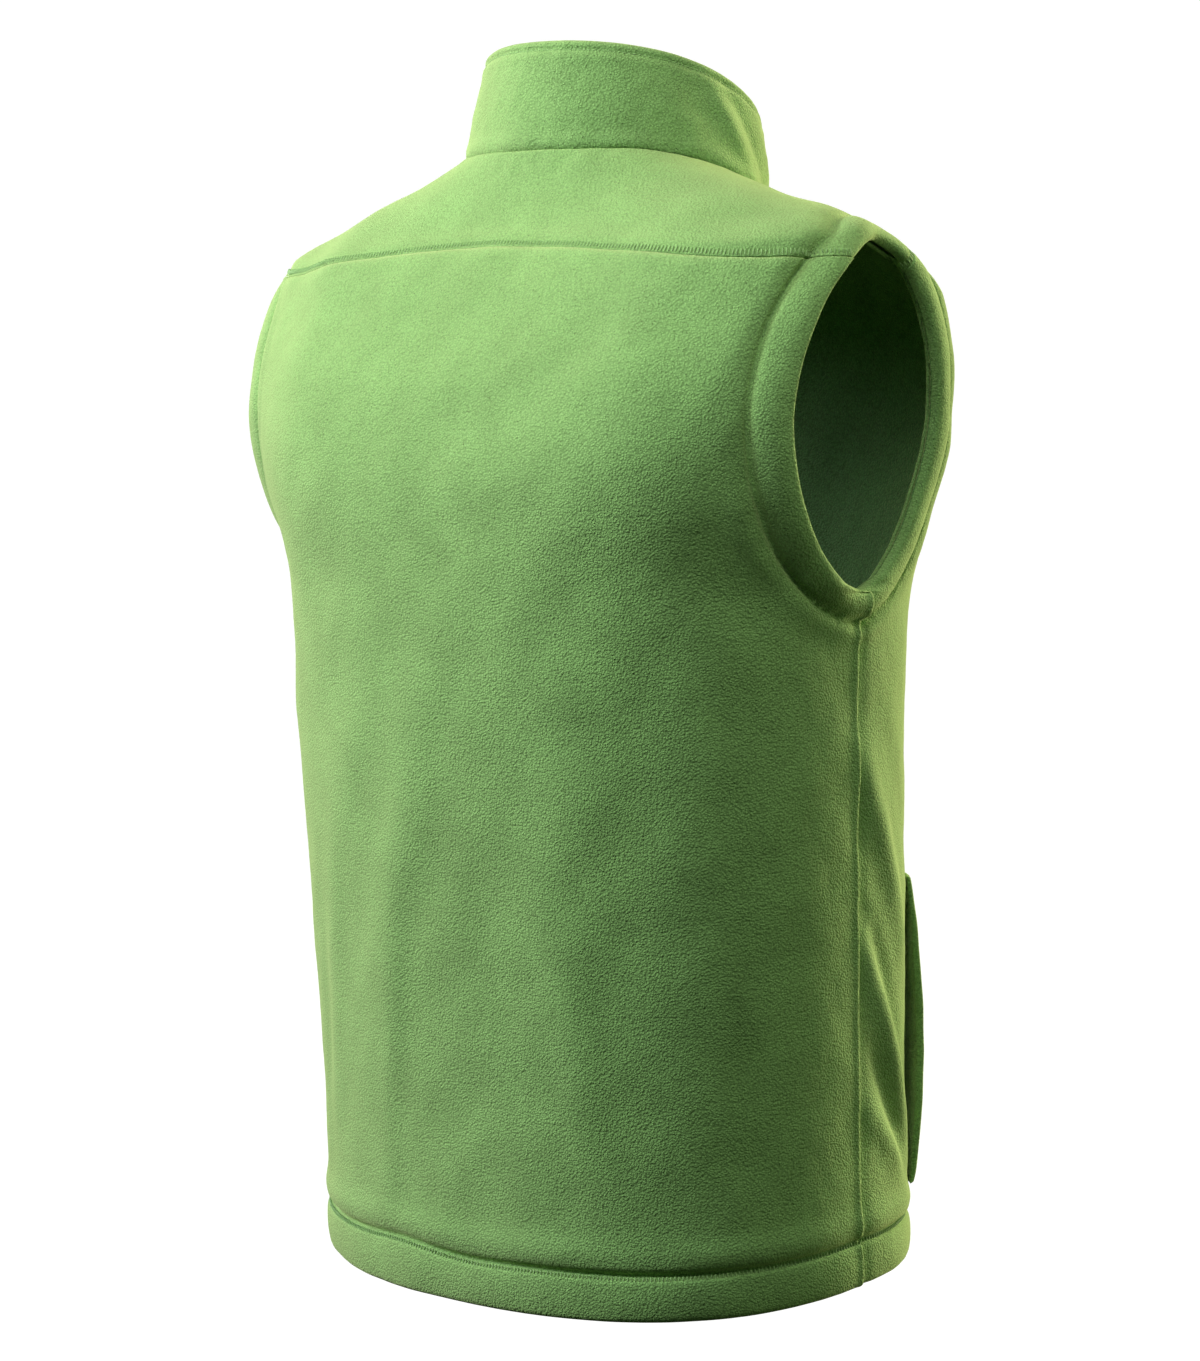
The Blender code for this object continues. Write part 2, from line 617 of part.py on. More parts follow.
def zip_line(foot_rise, top_fall):
    """Y, Z and the tape's outer edge along the zip, from the hem to the collar top."""
    hem_top = HEM_LEVEL + HEM_DEPTH + HEM_STEP
    narrow = ZIP_HALF_GAP - SEAM_GAP
    hem = [(HEM_LEVEL + foot_rise, narrow), (hem_top + 0.001, narrow)]
    levels = np.linspace(hem_top + 0.003, NECK_LEVEL - 0.004, ZIP_BODY_ROWS)
    body = [(level, TAPE_OUTER) for level in levels]
    rows = hem + body + [(NECK_LEVEL - 0.002, narrow), (NECK_LEVEL, narrow)]
    y, z = front_middle(np.array([row[0] for row in rows]))
    outer = np.array([row[1] for row in rows])
    collar_z = np.linspace(z[-1], COLLAR_FRONT_TOP - top_fall, ZIP_COLLAR_ROWS + 1)[1:]
    y = np.append(y, np.full(len(collar_z), FRONT_Y))
    return y, np.append(z, collar_z), np.append(outer, np.full(len(collar_z), narrow))


def make_zip_strip(name, side, inner, outer, depth, thick, foot_rise, top_fall, kind):
    """A strip of the zip along the front: a tape or a row of teeth."""
    y, z, tape_edge = zip_line(foot_rise, top_fall)
    edge = tape_edge if outer is None else np.full(len(y), outer)

    def place(column, row, layer):
        x = np.where(column == 0, inner, edge[row]) * side
        return np.stack((x, y[row] + depth + layer * thick, z[row]), -1)

    wall(name, 1, len(y) - 1, place, kind)


def block(name, low, high, kind=ZIP_METAL, bevel=0.0):
    """A box between two corners."""
    cube = bmesh.new()
    bmesh.ops.create_cube(cube, size=1.0)
    low = np.array(low)
    high = np.array(high)
    for corner in cube.verts:
        corner.co = (low + high) / 2 + np.array(corner.co) * (high - low)
    if bevel:
        bmesh.ops.bevel(cube, geom=cube.edges[:], offset=bevel, segments=1, profile=0.5,
                        affect="EDGES", material=-1)
    return finish_object(name, cube, kind)


def combine(base, others, operation):
    """Join others to base, or cut them from it."""
    for other in others:
        VEST.objects.unlink(other)
        CUTTERS.objects.link(other)
        other.hide_render = True
        other.display_type = "WIRE"
        step = base.modifiers.new(operation.title() + "_" + other.name, "BOOLEAN")
        step.operation = operation
        step.object = other


def make_slider():
    """Two plates joined by the wedge between the tapes, with an arch for the pull."""
    z_high = COLLAR_FRONT_TOP - ZIP_STOP_TOP
    z_low = z_high - SLIDER_HEIGHT
    teeth_face = FRONT_Y + TEETH_DEPTH
    teeth_back = teeth_face + TEETH_WALL
    plate_back = teeth_face - SLIDER_GAP
    plate_face = plate_back - SLIDER_PLATE
    half = SLIDER_WIDTH / 2
    rear_face = teeth_back + SLIDER_GAP
    slider = block("zip_slider", (-half, plate_face, z_low), (half, plate_back, z_high), bevel=SLIDER_BEVEL)
    rear = block("slider_rear", (-half, rear_face, z_low), (half, rear_face + SLIDER_PLATE, z_high),
                 bevel=SLIDER_BEVEL)
    post = block("slider_post", (-POST_HALF_WIDTH, plate_back - SLIDER_OVERLAP, z_high - POST_HEIGHT),
                 (POST_HALF_WIDTH, rear_face + SLIDER_OVERLAP, z_high - STOP_FALL))
    arch_mid = (z_low + z_high) / 2
    arch_out = plate_face - ARCH_ROOM - ARCH_BAR
    arch = block("slider_arch", (-ARCH_WIDTH / 2, arch_out, arch_mid - ARCH_HEIGHT / 2),
                 (ARCH_WIDTH / 2, plate_face + SLIDER_OVERLAP, arch_mid + ARCH_HEIGHT / 2))
    window_half = ARCH_HEIGHT / 2 - ARCH_BAR
    window = block("slider_window", (-ARCH_WIDTH, plate_face - ARCH_ROOM, arch_mid - window_half),
                   (ARCH_WIDTH, plate_face, arch_mid + window_half))
    combine(slider, (rear, post, arch), "UNION")
    combine(slider, (window,), "DIFFERENCE")
    return plate_face, arch_mid


def make_pull(plate_face, arch_mid):
    """The pull tab, its eye's top bar turning under the arch; it hangs straight down."""
    axis_y = plate_face - ARCH_ROOM / 2
    bar = PULL_WALL
    pull = block("zip_pull", (-PULL_WIDTH / 2, -bar / 2, bar / 2 - PULL_LENGTH),
                 (PULL_WIDTH / 2, bar / 2, bar / 2), bevel=PULL_BEVEL)
    eye = block("pull_eye", (-PULL_EYE_WIDTH / 2, -bar, -bar / 2 - PULL_EYE_HEIGHT),
                (PULL_EYE_WIDTH / 2, bar, -bar / 2))
    eye.parent = pull
    combine(pull, (eye,), "DIFFERENCE")
    pull.location = (0, axis_y, arch_mid)


def make_zip():
    teeth_top = ZIP_STOP_TOP + POST_HEIGHT + SLIDER_GAP
    teeth_foot = ZIP_FOOT + RETAINER_HEIGHT + 3 * SLIDER_GAP
    stop_face = FRONT_Y + TEETH_DEPTH
    stop_top = COLLAR_FRONT_TOP - ZIP_STOP_TOP - STOP_FALL
    stop_inner = POST_HALF_WIDTH + SLIDER_GAP
    for word, side in (("left", 1), ("right", -1)):
        make_zip_strip("zip_tape_" + word, side, TEETH_OUTER + SEAM_GAP, None, TAPE_DEPTH, TAPE_WALL,
                       ZIP_FOOT, ZIP_TAPE_FALL, TAPE_CLOTH)
        make_zip_strip("zip_teeth_" + word, side, TEETH_INNER, TEETH_OUTER, TEETH_DEPTH, TEETH_WALL,
                       teeth_foot, teeth_top, ZIP_PLASTIC)
        low = (side * stop_inner, stop_face, stop_top - STOP_HEIGHT)
        high = (side * TEETH_OUTER, stop_face + TEETH_WALL, stop_top)
        block("zip_stop_" + word, np.minimum(low, high), np.maximum(low, high), ZIP_PLASTIC)
    hem_y, hem_z = front_middle(np.array((HEM_LEVEL,)))
    foot_z = hem_z[0] + ZIP_FOOT
    face = hem_y[0] + TEETH_DEPTH - RETAINER_PROUD
    back = hem_y[0] + TEETH_DEPTH + TEETH_WALL + RETAINER_PROUD
    block("zip_retainer", (-TEETH_OUTER, face, foot_z), (TEETH_OUTER, back, foot_z + RETAINER_HEIGHT),
          ZIP_PLASTIC, bevel=RETAINER_BEVEL)
    plate_face, arch_mid = make_slider()
    make_pull(plate_face, arch_mid)


# ---------------------------------------------------------------- the vest
for stale in list(bpy.data.objects):
    bpy.data.objects.remove(stale, do_unlink=True)
VEST = bpy.data.collections.new("fleece_vest")
CUTTERS = bpy.data.collections.new("cutters")
bpy.context.scene.collection.children.link(VEST)
bpy.context.scene.collection.children.link(CUTTERS)

make_back()
make_yoke()
make_collar()
for WORD, SIDE in (("left", 1), ("right", -1)):
    make_front("front_" + WORD, SIDE)
    make_facing("armhole_facing_back_" + WORD, SIDE, True)
    make_facing("armhole_facing_front_" + WORD, SIDE, False)
    make_welt("pocket_welt_" + WORD, SIDE)
    make_bag("pocket_bag_" + WORD, SIDE)
make_zip()
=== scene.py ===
"""Fleece vest: the visual model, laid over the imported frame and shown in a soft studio.

Every cloth panel is a fine wall of cloth on the vest's form, with rounded edges, stitched
bands, puckers and folds shaped into it; stitches and zip teeth are small pieces of their own.
"""
import math

import bmesh
import bpy
import numpy as np
from mathutils import Matrix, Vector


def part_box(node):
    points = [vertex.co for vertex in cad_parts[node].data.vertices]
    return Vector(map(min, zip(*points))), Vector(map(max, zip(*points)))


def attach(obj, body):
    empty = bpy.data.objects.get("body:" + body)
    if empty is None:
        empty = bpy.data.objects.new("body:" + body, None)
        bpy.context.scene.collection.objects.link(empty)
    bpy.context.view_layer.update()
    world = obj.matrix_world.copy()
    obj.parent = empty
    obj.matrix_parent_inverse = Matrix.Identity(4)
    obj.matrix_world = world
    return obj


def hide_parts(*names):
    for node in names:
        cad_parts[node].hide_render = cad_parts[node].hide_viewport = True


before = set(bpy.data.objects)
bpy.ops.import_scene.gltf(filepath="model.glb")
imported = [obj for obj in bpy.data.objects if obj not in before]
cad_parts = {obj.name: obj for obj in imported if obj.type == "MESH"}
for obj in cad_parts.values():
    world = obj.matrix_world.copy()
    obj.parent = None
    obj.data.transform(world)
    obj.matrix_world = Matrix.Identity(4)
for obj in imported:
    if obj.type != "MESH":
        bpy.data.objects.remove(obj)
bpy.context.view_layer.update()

bl_info = {
    "name": "Fleece Vest",
    "version": (1, 0, 0),
    "blender": (4, 5, 0),
    "location": "View3D > Sidebar > Vest",
    "description": "Builds a napped fleece vest with its stitches, zip and studio",
    "category": "Object",
}

BODY = "garment"
RIGHT_ANGLE = math.pi / 2
SIDES = (("left", 1), ("right", -1))

# ------------------------------------------------------------------ the vest's form
CLOTH = 0.0030
TURNED_CLOTH = 0.0064
BAND_CLOTH = 0.0053
SEAM_GAP = -0.0004         # sewn edges overlap by this much
LAYER_GAP = 0.0026
HEM_LEVEL = -0.650
HEM_DEPTH = 0.026
UNDERARM_Z = -0.2435
NECK_LEVEL = -0.004
YOKE_LEVEL = -0.0460
YOKE_FALL = 0.019
SHOULDER_SEAM_NECK = math.radians(-27)
YOKE_NECK_CORNER = math.radians(28)
SHOULDER_POWER = 1.4
FRONT_CORNER = math.pi - math.radians(62)
POCKET_TURN = math.radians(-31.1)
POCKET_TOP = -0.424
POCKET_FOOT = -0.602
POCKET_MOUTH = 0.012
POCKET_END = 0.003
WELT_OVERRUN = 0.006
ZIP_HALF_GAP = 0.0065
TEETH_FACE = 0.0035

FORM_COLUMNS = ("level", "half", "behind", "before", "square", "tilt", "dip")
FORM_ROWS = np.array((
    (-0.650, 0.1900, 0.1150, -0.1580, 2.33, -0.0115, -0.0040),
    (-0.560, 0.1905, 0.1200, -0.1540, 2.33, -0.0070, -0.0030),
    (-0.450, 0.1940, 0.1275, -0.1480, 2.33, -0.0030, -0.0010),
    (-0.340, 0.1985, 0.1360, -0.1400, 2.33, 0.0000, 0.0000),
    (-0.250, 0.2030, 0.1410, -0.1345, 2.45, 0.0060, -0.0060),
    (-0.190, 0.2085, 0.1430, -0.1310, 3.10, 0.0130, -0.0130),
    (-0.130, 0.2130, 0.1320, -0.1300, 3.80, 0.0200, -0.0200),
    (-0.085, 0.2160, 0.1145, -0.1255, 3.70, 0.0255, -0.0265),
    (-0.052, 0.2145, 0.1000, -0.1205, 3.40, 0.0290, -0.0310),
    (-0.037, 0.1940, 0.0860, -0.1165, 2.75, 0.0310, -0.0290),
    (-0.022, 0.1440, 0.0750, -0.1135, 2.20, 0.0325, -0.0230),
    (-0.004, 0.0930, 0.0665, -0.1110, 2.00, 0.0322, -0.0177),
))
COLLAR_TOP = {"half": 0.0836, "behind": 0.0540, "before": -0.1110,
              "side": 0.0531, "tilt": 0.0315, "dip": -0.0100}
ARMHOLE_EDGE = {"y": 0.006, "z": -0.1445, "back": 0.070, "front": 0.064, "up": 0.0990, "power": 1.72}
ARMHOLE_MIDDLE = (0.006, -0.145)
ARMHOLE_STITCH = {"y": 0.006, "z": -0.1460, "back": 0.0905, "front": 0.0855, "up": 0.1145, "power": 1.78}

# Folds: start and end as turn in degrees and level, half width and height in metres.
LARGE_FOLDS = (
    (88.0, -0.300, 66.0, -0.545, 0.016, 0.0030),
    (72.0, -0.310, 58.0, -0.420, 0.014, 0.0018),
    (104.0, -0.330, 97.0, -0.560, 0.022, -0.0016),
    (181.0, -0.335, 204.0, -0.470, 0.0120, 0.0050),
    (182.0, -0.447, 207.0, -0.590, 0.0095, 0.0052),
    (183.0, -0.545, 204.0, -0.600, 0.0090, 0.0032),
    (5.0, -0.318, -26.0, -0.408, 0.0095, 0.0046),
    (4.0, -0.420, -26.0, -0.512, 0.0100, 0.0048),
    (3.0, -0.532, -25.0, -0.584, 0.0090, 0.0036),
    (-56.0, -0.300, -74.0, -0.520, 0.020, 0.0022),
    (-126.0, -0.320, -107.0, -0.500, 0.018, 0.0024),
)
SMALL_FOLDS = (
    (78.0, -0.430, 70.0, -0.600, 0.009, 0.0014),
    (60.0, -0.380, 52.0, -0.560, 0.010, 0.0016),
    (52.0, -0.440, 47.0, -0.600, 0.008, -0.0012),
    (112.0, -0.400, 120.0, -0.600, 0.014, 0.0014),
    (130.0, -0.300, 122.0, -0.520, 0.016, -0.0014),
    (140.0, -0.120, 158.0, -0.215, 0.010, 0.0014),
    (36.0, -0.130, 22.0, -0.220, 0.010, 0.0014),
    (120.0, -0.090, 100.0, -0.150, 0.014, -0.0010),
    (182.0, -0.425, 206.0, -0.540, 0.0075, -0.0028),
    (183.0, -0.505, 206.0, -0.600, 0.0075, -0.0028),
    (184.0, -0.290, 204.0, -0.385, 0.0100, -0.0008),
    (-2.0, -0.368, -25.0, -0.458, 0.0065, -0.0022),
    (-1.0, -0.472, -25.0, -0.555, 0.0065, -0.0022),
    (-40.0, -0.560, -70.0, -0.610, 0.010, 0.0014),
    (220.0, -0.560, 250.0, -0.615, 0.010, 0.0014),
    (-48.0, -0.160, -70.0, -0.290, 0.014, 0.0018),
    (226.0, -0.170, 248.0, -0.300, 0.014, 0.0018),
)
MEAN_RADIUS = 0.165


def form_value(column, level):
    """A column of FORM_ROWS at any level, by a monotone curve through its rows."""
    stops = FORM_ROWS[:, 0]
    values = FORM_ROWS[:, FORM_COLUMNS.index(column)]
    level = np.clip(level, stops[0], stops[-1])
    step = np.diff(stops)
    slope = np.diff(values) / step
    rate = np.zeros(len(stops))
    rate[0] = slope[0]
    rate[-1] = slope[-1]
    for i in range(1, len(stops) - 1):
        if slope[i - 1] * slope[i] > 0:
            near = 2 * step[i] + step[i - 1]
            far = step[i] + 2 * step[i - 1]
            rate[i] = (near + far) / (near / slope[i - 1] + far / slope[i])
    k = np.clip(np.searchsorted(stops, level, side="right") - 1, 0, len(step) - 1)
    t = (level - stops[k]) / step[k]
    start = values[k] * (2 * t**3 - 3 * t**2 + 1) + step[k] * rate[k] * (t**3 - 2 * t**2 + t)
    end = values[k + 1] * (3 * t**2 - 2 * t**3) + step[k] * rate[k + 1] * (t**3 - t**2)
    return start + end


def ring_place(turn, half, behind, before, square):
    """X, Y and the share of the half depth, on a superellipse ring."""
    c = np.cos(turn)
    s = np.sin(turn)
    reach = (np.abs(c) ** square + np.abs(s) ** square) ** (-1 / square)
    share = reach * s
    return half * reach * c, (behind + before) / 2 + (behind - before) / 2 * share, share


def form_point(turn, level):
    """The vest's form without its folds."""
    x, y, share = ring_place(turn, *(form_value(name, level) for name in FORM_COLUMNS[1:5]))
    z = level + form_value("tilt", level) * share + form_value("dip", level) * share**2
    return np.stack((x, y, z + 0 * x), -1)


def form_normal(turn, level):
    """The form's outward direction."""
    small = 1e-4
    low = np.minimum(level, NECK_LEVEL - small)
    along = form_point(turn + small, low) - form_point(turn - small, low)
    up = form_point(turn, low + small) - form_point(turn, low - small)
    normal = np.cross(along, up)
    return normal / np.linalg.norm(normal, axis=-1, keepdims=True)


def fold_height(turn, level, folds, radius=MEAN_RADIUS, tall=1.0, start=0.08):
    """Height of a list of folds above the plain form.

    `radius` and `tall` turn their turns and levels into metres; `start` is the share of a
    half wave at which each one begins and ends.
    """
    height = np.zeros(np.broadcast(turn, level).shape)
    for turn_a, level_a, turn_b, level_b, half_width, peak in folds:
        run = np.array((math.radians(turn_b - turn_a) * radius, (level_b - level_a) * tall))
        length = np.linalg.norm(run)
        away = (turn - math.radians(turn_a) + math.pi) % (2 * math.pi) - math.pi
        across_x = away * radius
        across_z = (level - level_a) * tall
        along = (across_x * run[0] + across_z * run[1]) / length
        aside = (across_x * run[1] - across_z * run[0]) / length
        end = np.clip(along / length, 0, 1)
        past = along - end * length
        taper = np.sin(np.pi * (start + (1 - 2 * start) * end))
        height = height + peak * taper * np.exp(-(aside**2 + past**2) / half_width**2)
    return height


def folded_form(turn, level):
    """Points of the form with its large folds, and the outward directions."""
    normals = form_normal(turn, level)
    return form_point(turn, level) + normals * fold_height(turn, level, LARGE_FOLDS)[..., None], normals


def on_side(turn, side):
    """A turn given on the left, for the left (1) or mirrored to the right (-1)."""
    return turn if side > 0 else math.pi - turn


def depth_share(level, y):
    """A place's share of the ring's half depth, from -1 at the front to 1 at the back."""
    behind = form_value("behind", level)
    before = form_value("before", level)
    return np.clip((y - (behind + before) / 2) / ((behind - before) / 2), -1, 1)


def turn_at_y(level, y):
    """The turn at which the ring passes a given Y, on the left."""
    share = depth_share(level, y)
    square = form_value("square", level)
    return np.arctan2(share, (1 - np.abs(share) ** square) ** (1 / square))


def turn_at_x(level, x):
    """The turn at which the front of the ring passes a given X."""
    share = np.clip(x / form_value("half", level), -1, 1)
    square = form_value("square", level)
    return np.arctan2(-((1 - np.abs(share) ** square) ** (1 / square)), share)


def armhole_radius(line, angle):
    """Y and Z reach of an armhole line at an angle seen from the side."""
    c = np.cos(angle)
    s = np.sin(angle)
    r = (np.abs(c) ** line["power"] + np.abs(s) ** line["power"]) ** (-1 / line["power"])
    return np.where(c >= 0, line["back"], line["front"]) * r * c, line["up"] * r * s


def armhole_place(angle, share=0.0):
    """Turn and level on the left armhole, from its fold (0) to its stitch line (1)."""
    places = []
    for line in (ARMHOLE_EDGE, ARMHOLE_STITCH):
        across, up = armhole_radius(line, angle)
        places.append((line["y"] + across, line["z"] + up))
    (y0, z0), (y1, z1) = places
    y = y0 + (y1 - y0) * share
    z = z0 + (z1 - z0) * share
    level = np.array(z, float)
    for _ in range(14):
        part = depth_share(level, y)
        level = z - form_value("tilt", level) * part - form_value("dip", level) * part**2
    return turn_at_y(level, y), level


def armhole_share(points):
    """How far a place is from the armhole's fold (0) towards its stitch line (1)."""
    radii = []
    for line in (ARMHOLE_EDGE, ARMHOLE_STITCH):
        y = points[..., 1] - line["y"]
        z = (points[..., 2] - line["z"]) / line["up"]
        wide = np.where(y >= 0, line["back"], line["front"])
        power = line["power"]
        radii.append((np.abs(y / wide) ** power + np.abs(z) ** power) ** (1 / power))
    reach = np.hypot(points[..., 1] - ARMHOLE_MIDDLE[0], points[..., 2] - ARMHOLE_MIDDLE[1])
    edge = reach / np.maximum(radii[0], 1e-6)
    stitch = reach / np.maximum(radii[1], 1e-6)
    return (reach - edge) / np.maximum(stitch - edge, 1e-6)


def width_share(turn, level):
    """A place's share of the ring's half width."""
    return ring_place(turn, 1.0, 1.0, -1.0, form_value("square", level))[0]


def yoke_level(turn, level):
    """The back yoke seam's level at a turn."""
    return YOKE_LEVEL - YOKE_FALL * width_share(turn, level) ** 2


def yoke_corner():
    """The armhole angle where the back yoke seam meets the armhole's fold."""
    low = 0.0
    high = RIGHT_ANGLE
    for _ in range(40):
        angle = (low + high) / 2
        turn, level = armhole_place(angle)
        if level < yoke_level(turn, level):
            low = angle
        else:
            high = angle
    return angle


YOKE_CORNER = yoke_corner()
UNDERARM = -RIGHT_ANGLE


def side_seam_turn(level, toward):
    """The side seam's turn, half a seam gap to the back (1) or to the front (-1)."""
    middle = (form_value("behind", level) + form_value("before", level)) / 2
    return turn_at_y(level, middle + SEAM_GAP / 2 * toward)


def shoulder_law(v):
    """Share of the way up to the neck, quick at first, at a share across the shoulder."""
    return 1 - (1 - v) ** SHOULDER_POWER


# ------------------------------------------------------------------ shaping tools
def steps(start, end, spacing, fine=0.0007, ease=1.32, first=True, last=True):
    """Places from start to end, close together near the ends that ask for it."""
    span = abs(end - start)
    run = [0.0]
    step = fine
    while run[-1] + step < span / 2 and step < spacing:
        run.append(run[-1] + step)
        step *= ease
    head = run if first else [0.0]
    tail = [span - place for place in reversed(run)] if last else [span]
    inner = tail[0] - head[-1]
    count = max(1, round(inner / spacing))
    middle = head[-1] + inner * np.arange(1, count) / count
    places = np.concatenate((head, middle, tail))
    return start + np.sign(end - start) * places


def ripple(points, length, seed, waves=9):
    """Smooth seeded unevenness between about -1 and 1, of a given wave length."""
    rng = np.random.default_rng(seed)
    total = np.zeros(points.shape[:-1])
    for _ in range(waves):
        way = rng.normal(size=3)
        way *= 2 * math.pi / (length * rng.uniform(0.7, 1.5) * np.linalg.norm(way))
        total += np.sin(points @ way + rng.uniform(0, 2 * math.pi))
    return total / math.sqrt(waves * 2)


def bump(distance, middle, half_width):
    """A soft ridge of height 1 at `middle`."""
    return np.exp(-((distance - middle) / half_width) ** 2)


STITCH_ROWS = {            # rows of stitches: distance from their seam or turned edge
    "yoke": 0.0030,
    "shoulder": 0.0032,
    "edge": 0.0058,
    "collar": 0.0056,
    "welt": 0.0065,
}
COLLAR_TUCK = 0.0035       # the collar reaches this far below the neck seam, inside it
RIDGES = {                 # height, distance from the edge and half width, in metres
    "hem_groove": (-0.0030, 0.0006, 0.0021),
    "hem_overhang": (0.0019, 0.0105, 0.0080),
    "side_back": (0.0010, 0.0022, 0.0024),
    "side_front": (-0.0012, 0.0020, 0.0055),
    "lap": (0.0024, 0.0, 0.0120),
    "under_lap": (-0.0022, 0.0, 0.0120),
    "lap_dimple": (-0.0016, 0.0040, 0.0050),
    "yoke_edge": (0.0003, 0.0060, 0.0040),
    "yoke_seam": (-0.0004, 0.0, 0.0022),
    "yoke_swell": (0.0003, 0.0095, 0.0035),
    "zip_row": (-0.0010, STITCH_ROWS["edge"], 0.0013),
    "zip_fold": (0.0006, 0.0030, 0.0020),
    "collar_foot": (0.0009, COLLAR_TUCK + 0.0050, 0.0040),
    "collar_row": (-0.0013, STITCH_ROWS["collar"], 0.0012),
    "collar_fold": (0.0004, 0.0100, 0.0030),
    "collar_end": (-0.0009, STITCH_ROWS["edge"], 0.0013),
    "welt_row": (-0.0009, STITCH_ROWS["welt"], 0.0012),
}


def ridge(distance, name):
    """The height of a named ridge or groove."""
    height, middle, half_width = RIDGES[name]
    return height * bump(distance, middle, half_width)


def ramp(value, start, length):
    """Share from 0 at `start` to 1 after `length`."""
    return np.clip((value - start) / length, 0, 1)


def smooth(share):
    """A share from 0 to 1, eased at both ends."""
    return share * share * (3 - 2 * share)


def edge_distances(points):
    """Distance of each grid place from the grid's four sides, along rows and columns."""
    across = np.linalg.norm(np.diff(points, axis=1), axis=-1)
    up = np.linalg.norm(np.diff(points, axis=0), axis=-1)
    from_first = np.pad(np.cumsum(across, 1), ((0, 0), (1, 0)))
    from_foot = np.pad(np.cumsum(up, 0), ((1, 0), (0, 0)))
    return from_first, from_first[:, -1:] - from_first, from_foot, from_foot[-1:] - from_foot


HEM_ROUND = 0.0032        # radii to which a panel's edges are rounded
NECK_ROUND = 0.0022
SEAM_ROUND = 0.0014
ZIP_ROUND = 0.0016
FREE = 0.10               # share of a cloth's thickness left at a free or folded edge
SEAM = 0.88               # and at a pressed seam
SIDE_SEAM = 0.30          # and at the side seams
BAND_SEAM = 0.96          # and where a seam crosses an armhole's band


def half_thickness(distance, thick, radius, least):
    """Half the cloth's thickness near a rounded edge, where `least` of it is left."""
    inward = 1 - np.clip(distance / radius, 0, 1)
    return thick / 2 * (least + (1 - least) * np.sqrt(1 - inward**2))


def cloth_wall(name, face, back, finishes, slit=None):
    """A closed wall of cloth from two grids of points, its face and its back, each with its finish.

    A flat grid is doubled through its thickness and laid on the points. `slit` names a
    column and a first and last row that stay open.
    """
    rows = face.shape[0] - 1
    columns = face.shape[1] - 1
    sheet = bmesh.new()
    bmesh.ops.create_grid(sheet, x_segments=columns, y_segments=rows, size=0.5)
    if slit is not None:
        gone = []
        for square in sheet.faces:
            middle = square.calc_center_median()
            if math.floor((middle.x + 0.5) * columns) == slit[0]:
                if slit[1] <= math.floor((middle.y + 0.5) * rows) < slit[2]:
                    gone.append(square)
        bmesh.ops.delete(sheet, geom=gone, context="FACES")
    doubled = bmesh.ops.extrude_face_region(sheet, geom=sheet.faces[:], use_keep_orig=True)
    for corner in doubled["geom"]:
        if isinstance(corner, bmesh.types.BMVert):
            corner.co.z = 1.0
    places = np.array([corner.co[:] for corner in sheet.verts])
    column = np.rint((places[:, 0] + 0.5) * columns).astype(int)
    row = np.rint((places[:, 1] + 0.5) * rows).astype(int)
    for square in sheet.faces:
        if min(corner.co.z for corner in square.verts) > 0.5:
            square.material_index = 1
    laid = np.where(places[:, 2:] > 0.5, back[row, column], face[row, column])
    for corner, point in zip(sheet.verts, laid):
        corner.co = point
    bmesh.ops.recalc_face_normals(sheet, faces=sheet.faces[:])
    if sheet.calc_volume(signed=True) < 0:
        bmesh.ops.reverse_faces(sheet, faces=sheet.faces[:])
    return finish_piece(name, sheet, [FINISH[finish] for finish in finishes])


def finish_piece(name, shape, finishes):
    """A finished bmesh as a piece that rides on the garment."""
    mesh = bpy.data.meshes.new(name)
    shape.to_mesh(mesh)
    shape.free()
    mesh.shade_smooth()
    for finish in finishes:
        mesh.materials.append(finish)
    piece = bpy.data.objects.new(name, mesh)
    bpy.context.scene.collection.objects.link(piece)
    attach(piece, BODY)
    return piece


def scatter(name, template, centres, frames, finish):
    """Many copies of one small shape, each at its own centre and frame."""
    mould = bpy.data.meshes.new(name + "_mould")
    template.to_mesh(mould)
    template.free()
    corners = np.array([corner.co[:] for corner in mould.vertices])
    many = bmesh.new()
    for _ in range(len(centres)):
        many.from_mesh(mould)
    bpy.data.meshes.remove(mould)
    places = centres[:, None, :] + np.einsum("vk,nkj->nvj", corners, frames)
    for corner, point in zip(many.verts, places.reshape(-1, 3)):
        corner.co = point
    return finish_piece(name, many, (finish,))


def stitch_shape(length, width, height):
    """One stitch of thread: a small flattened bead, long along X and standing along Z."""
    shape = bmesh.new()
    bmesh.ops.create_uvsphere(shape, u_segments=6, v_segments=4, radius=0.5)
    turned = Matrix.Rotation(RIGHT_ANGLE, 3, "Y")
    bmesh.ops.rotate(shape, verts=shape.verts[:], cent=(0, 0, 0), matrix=turned)
    bmesh.ops.scale(shape, verts=shape.verts[:], vec=(length, width, height))
    return shape


def along_line(values, run, at):
    """Values at other places on a line, whose own places are `run`."""
    return np.stack([np.interp(at, run, values[:, i]) for i in range(3)], -1)


def unit(vectors):
    """The same directions with length 1."""
    return vectors / np.linalg.norm(vectors, axis=-1, keepdims=True)


def sew(name, points, normals, spacing, size, across=False):
    """A row of evenly spaced stitches on a line of the cloth, laid along it or across it."""
    run = np.append(0, np.cumsum(np.linalg.norm(np.diff(points, axis=0), axis=1)))
    count = max(2, int(run[-1] / spacing))
    at = (np.arange(count) + 0.5) * run[-1] / count
    way = unit(along_line(points, run, at + spacing) - along_line(points, run, at - spacing))
    up = unit(along_line(normals, run, at))
    side = unit(np.cross(up, way))
    turned = side if across else unit(np.cross(side, up))
    frames = np.stack((turned, np.cross(up, turned), up), 1)
    centres = along_line(points, run, at)
    return scatter(name, stitch_shape(*size), centres, frames, FINISH["thread"])


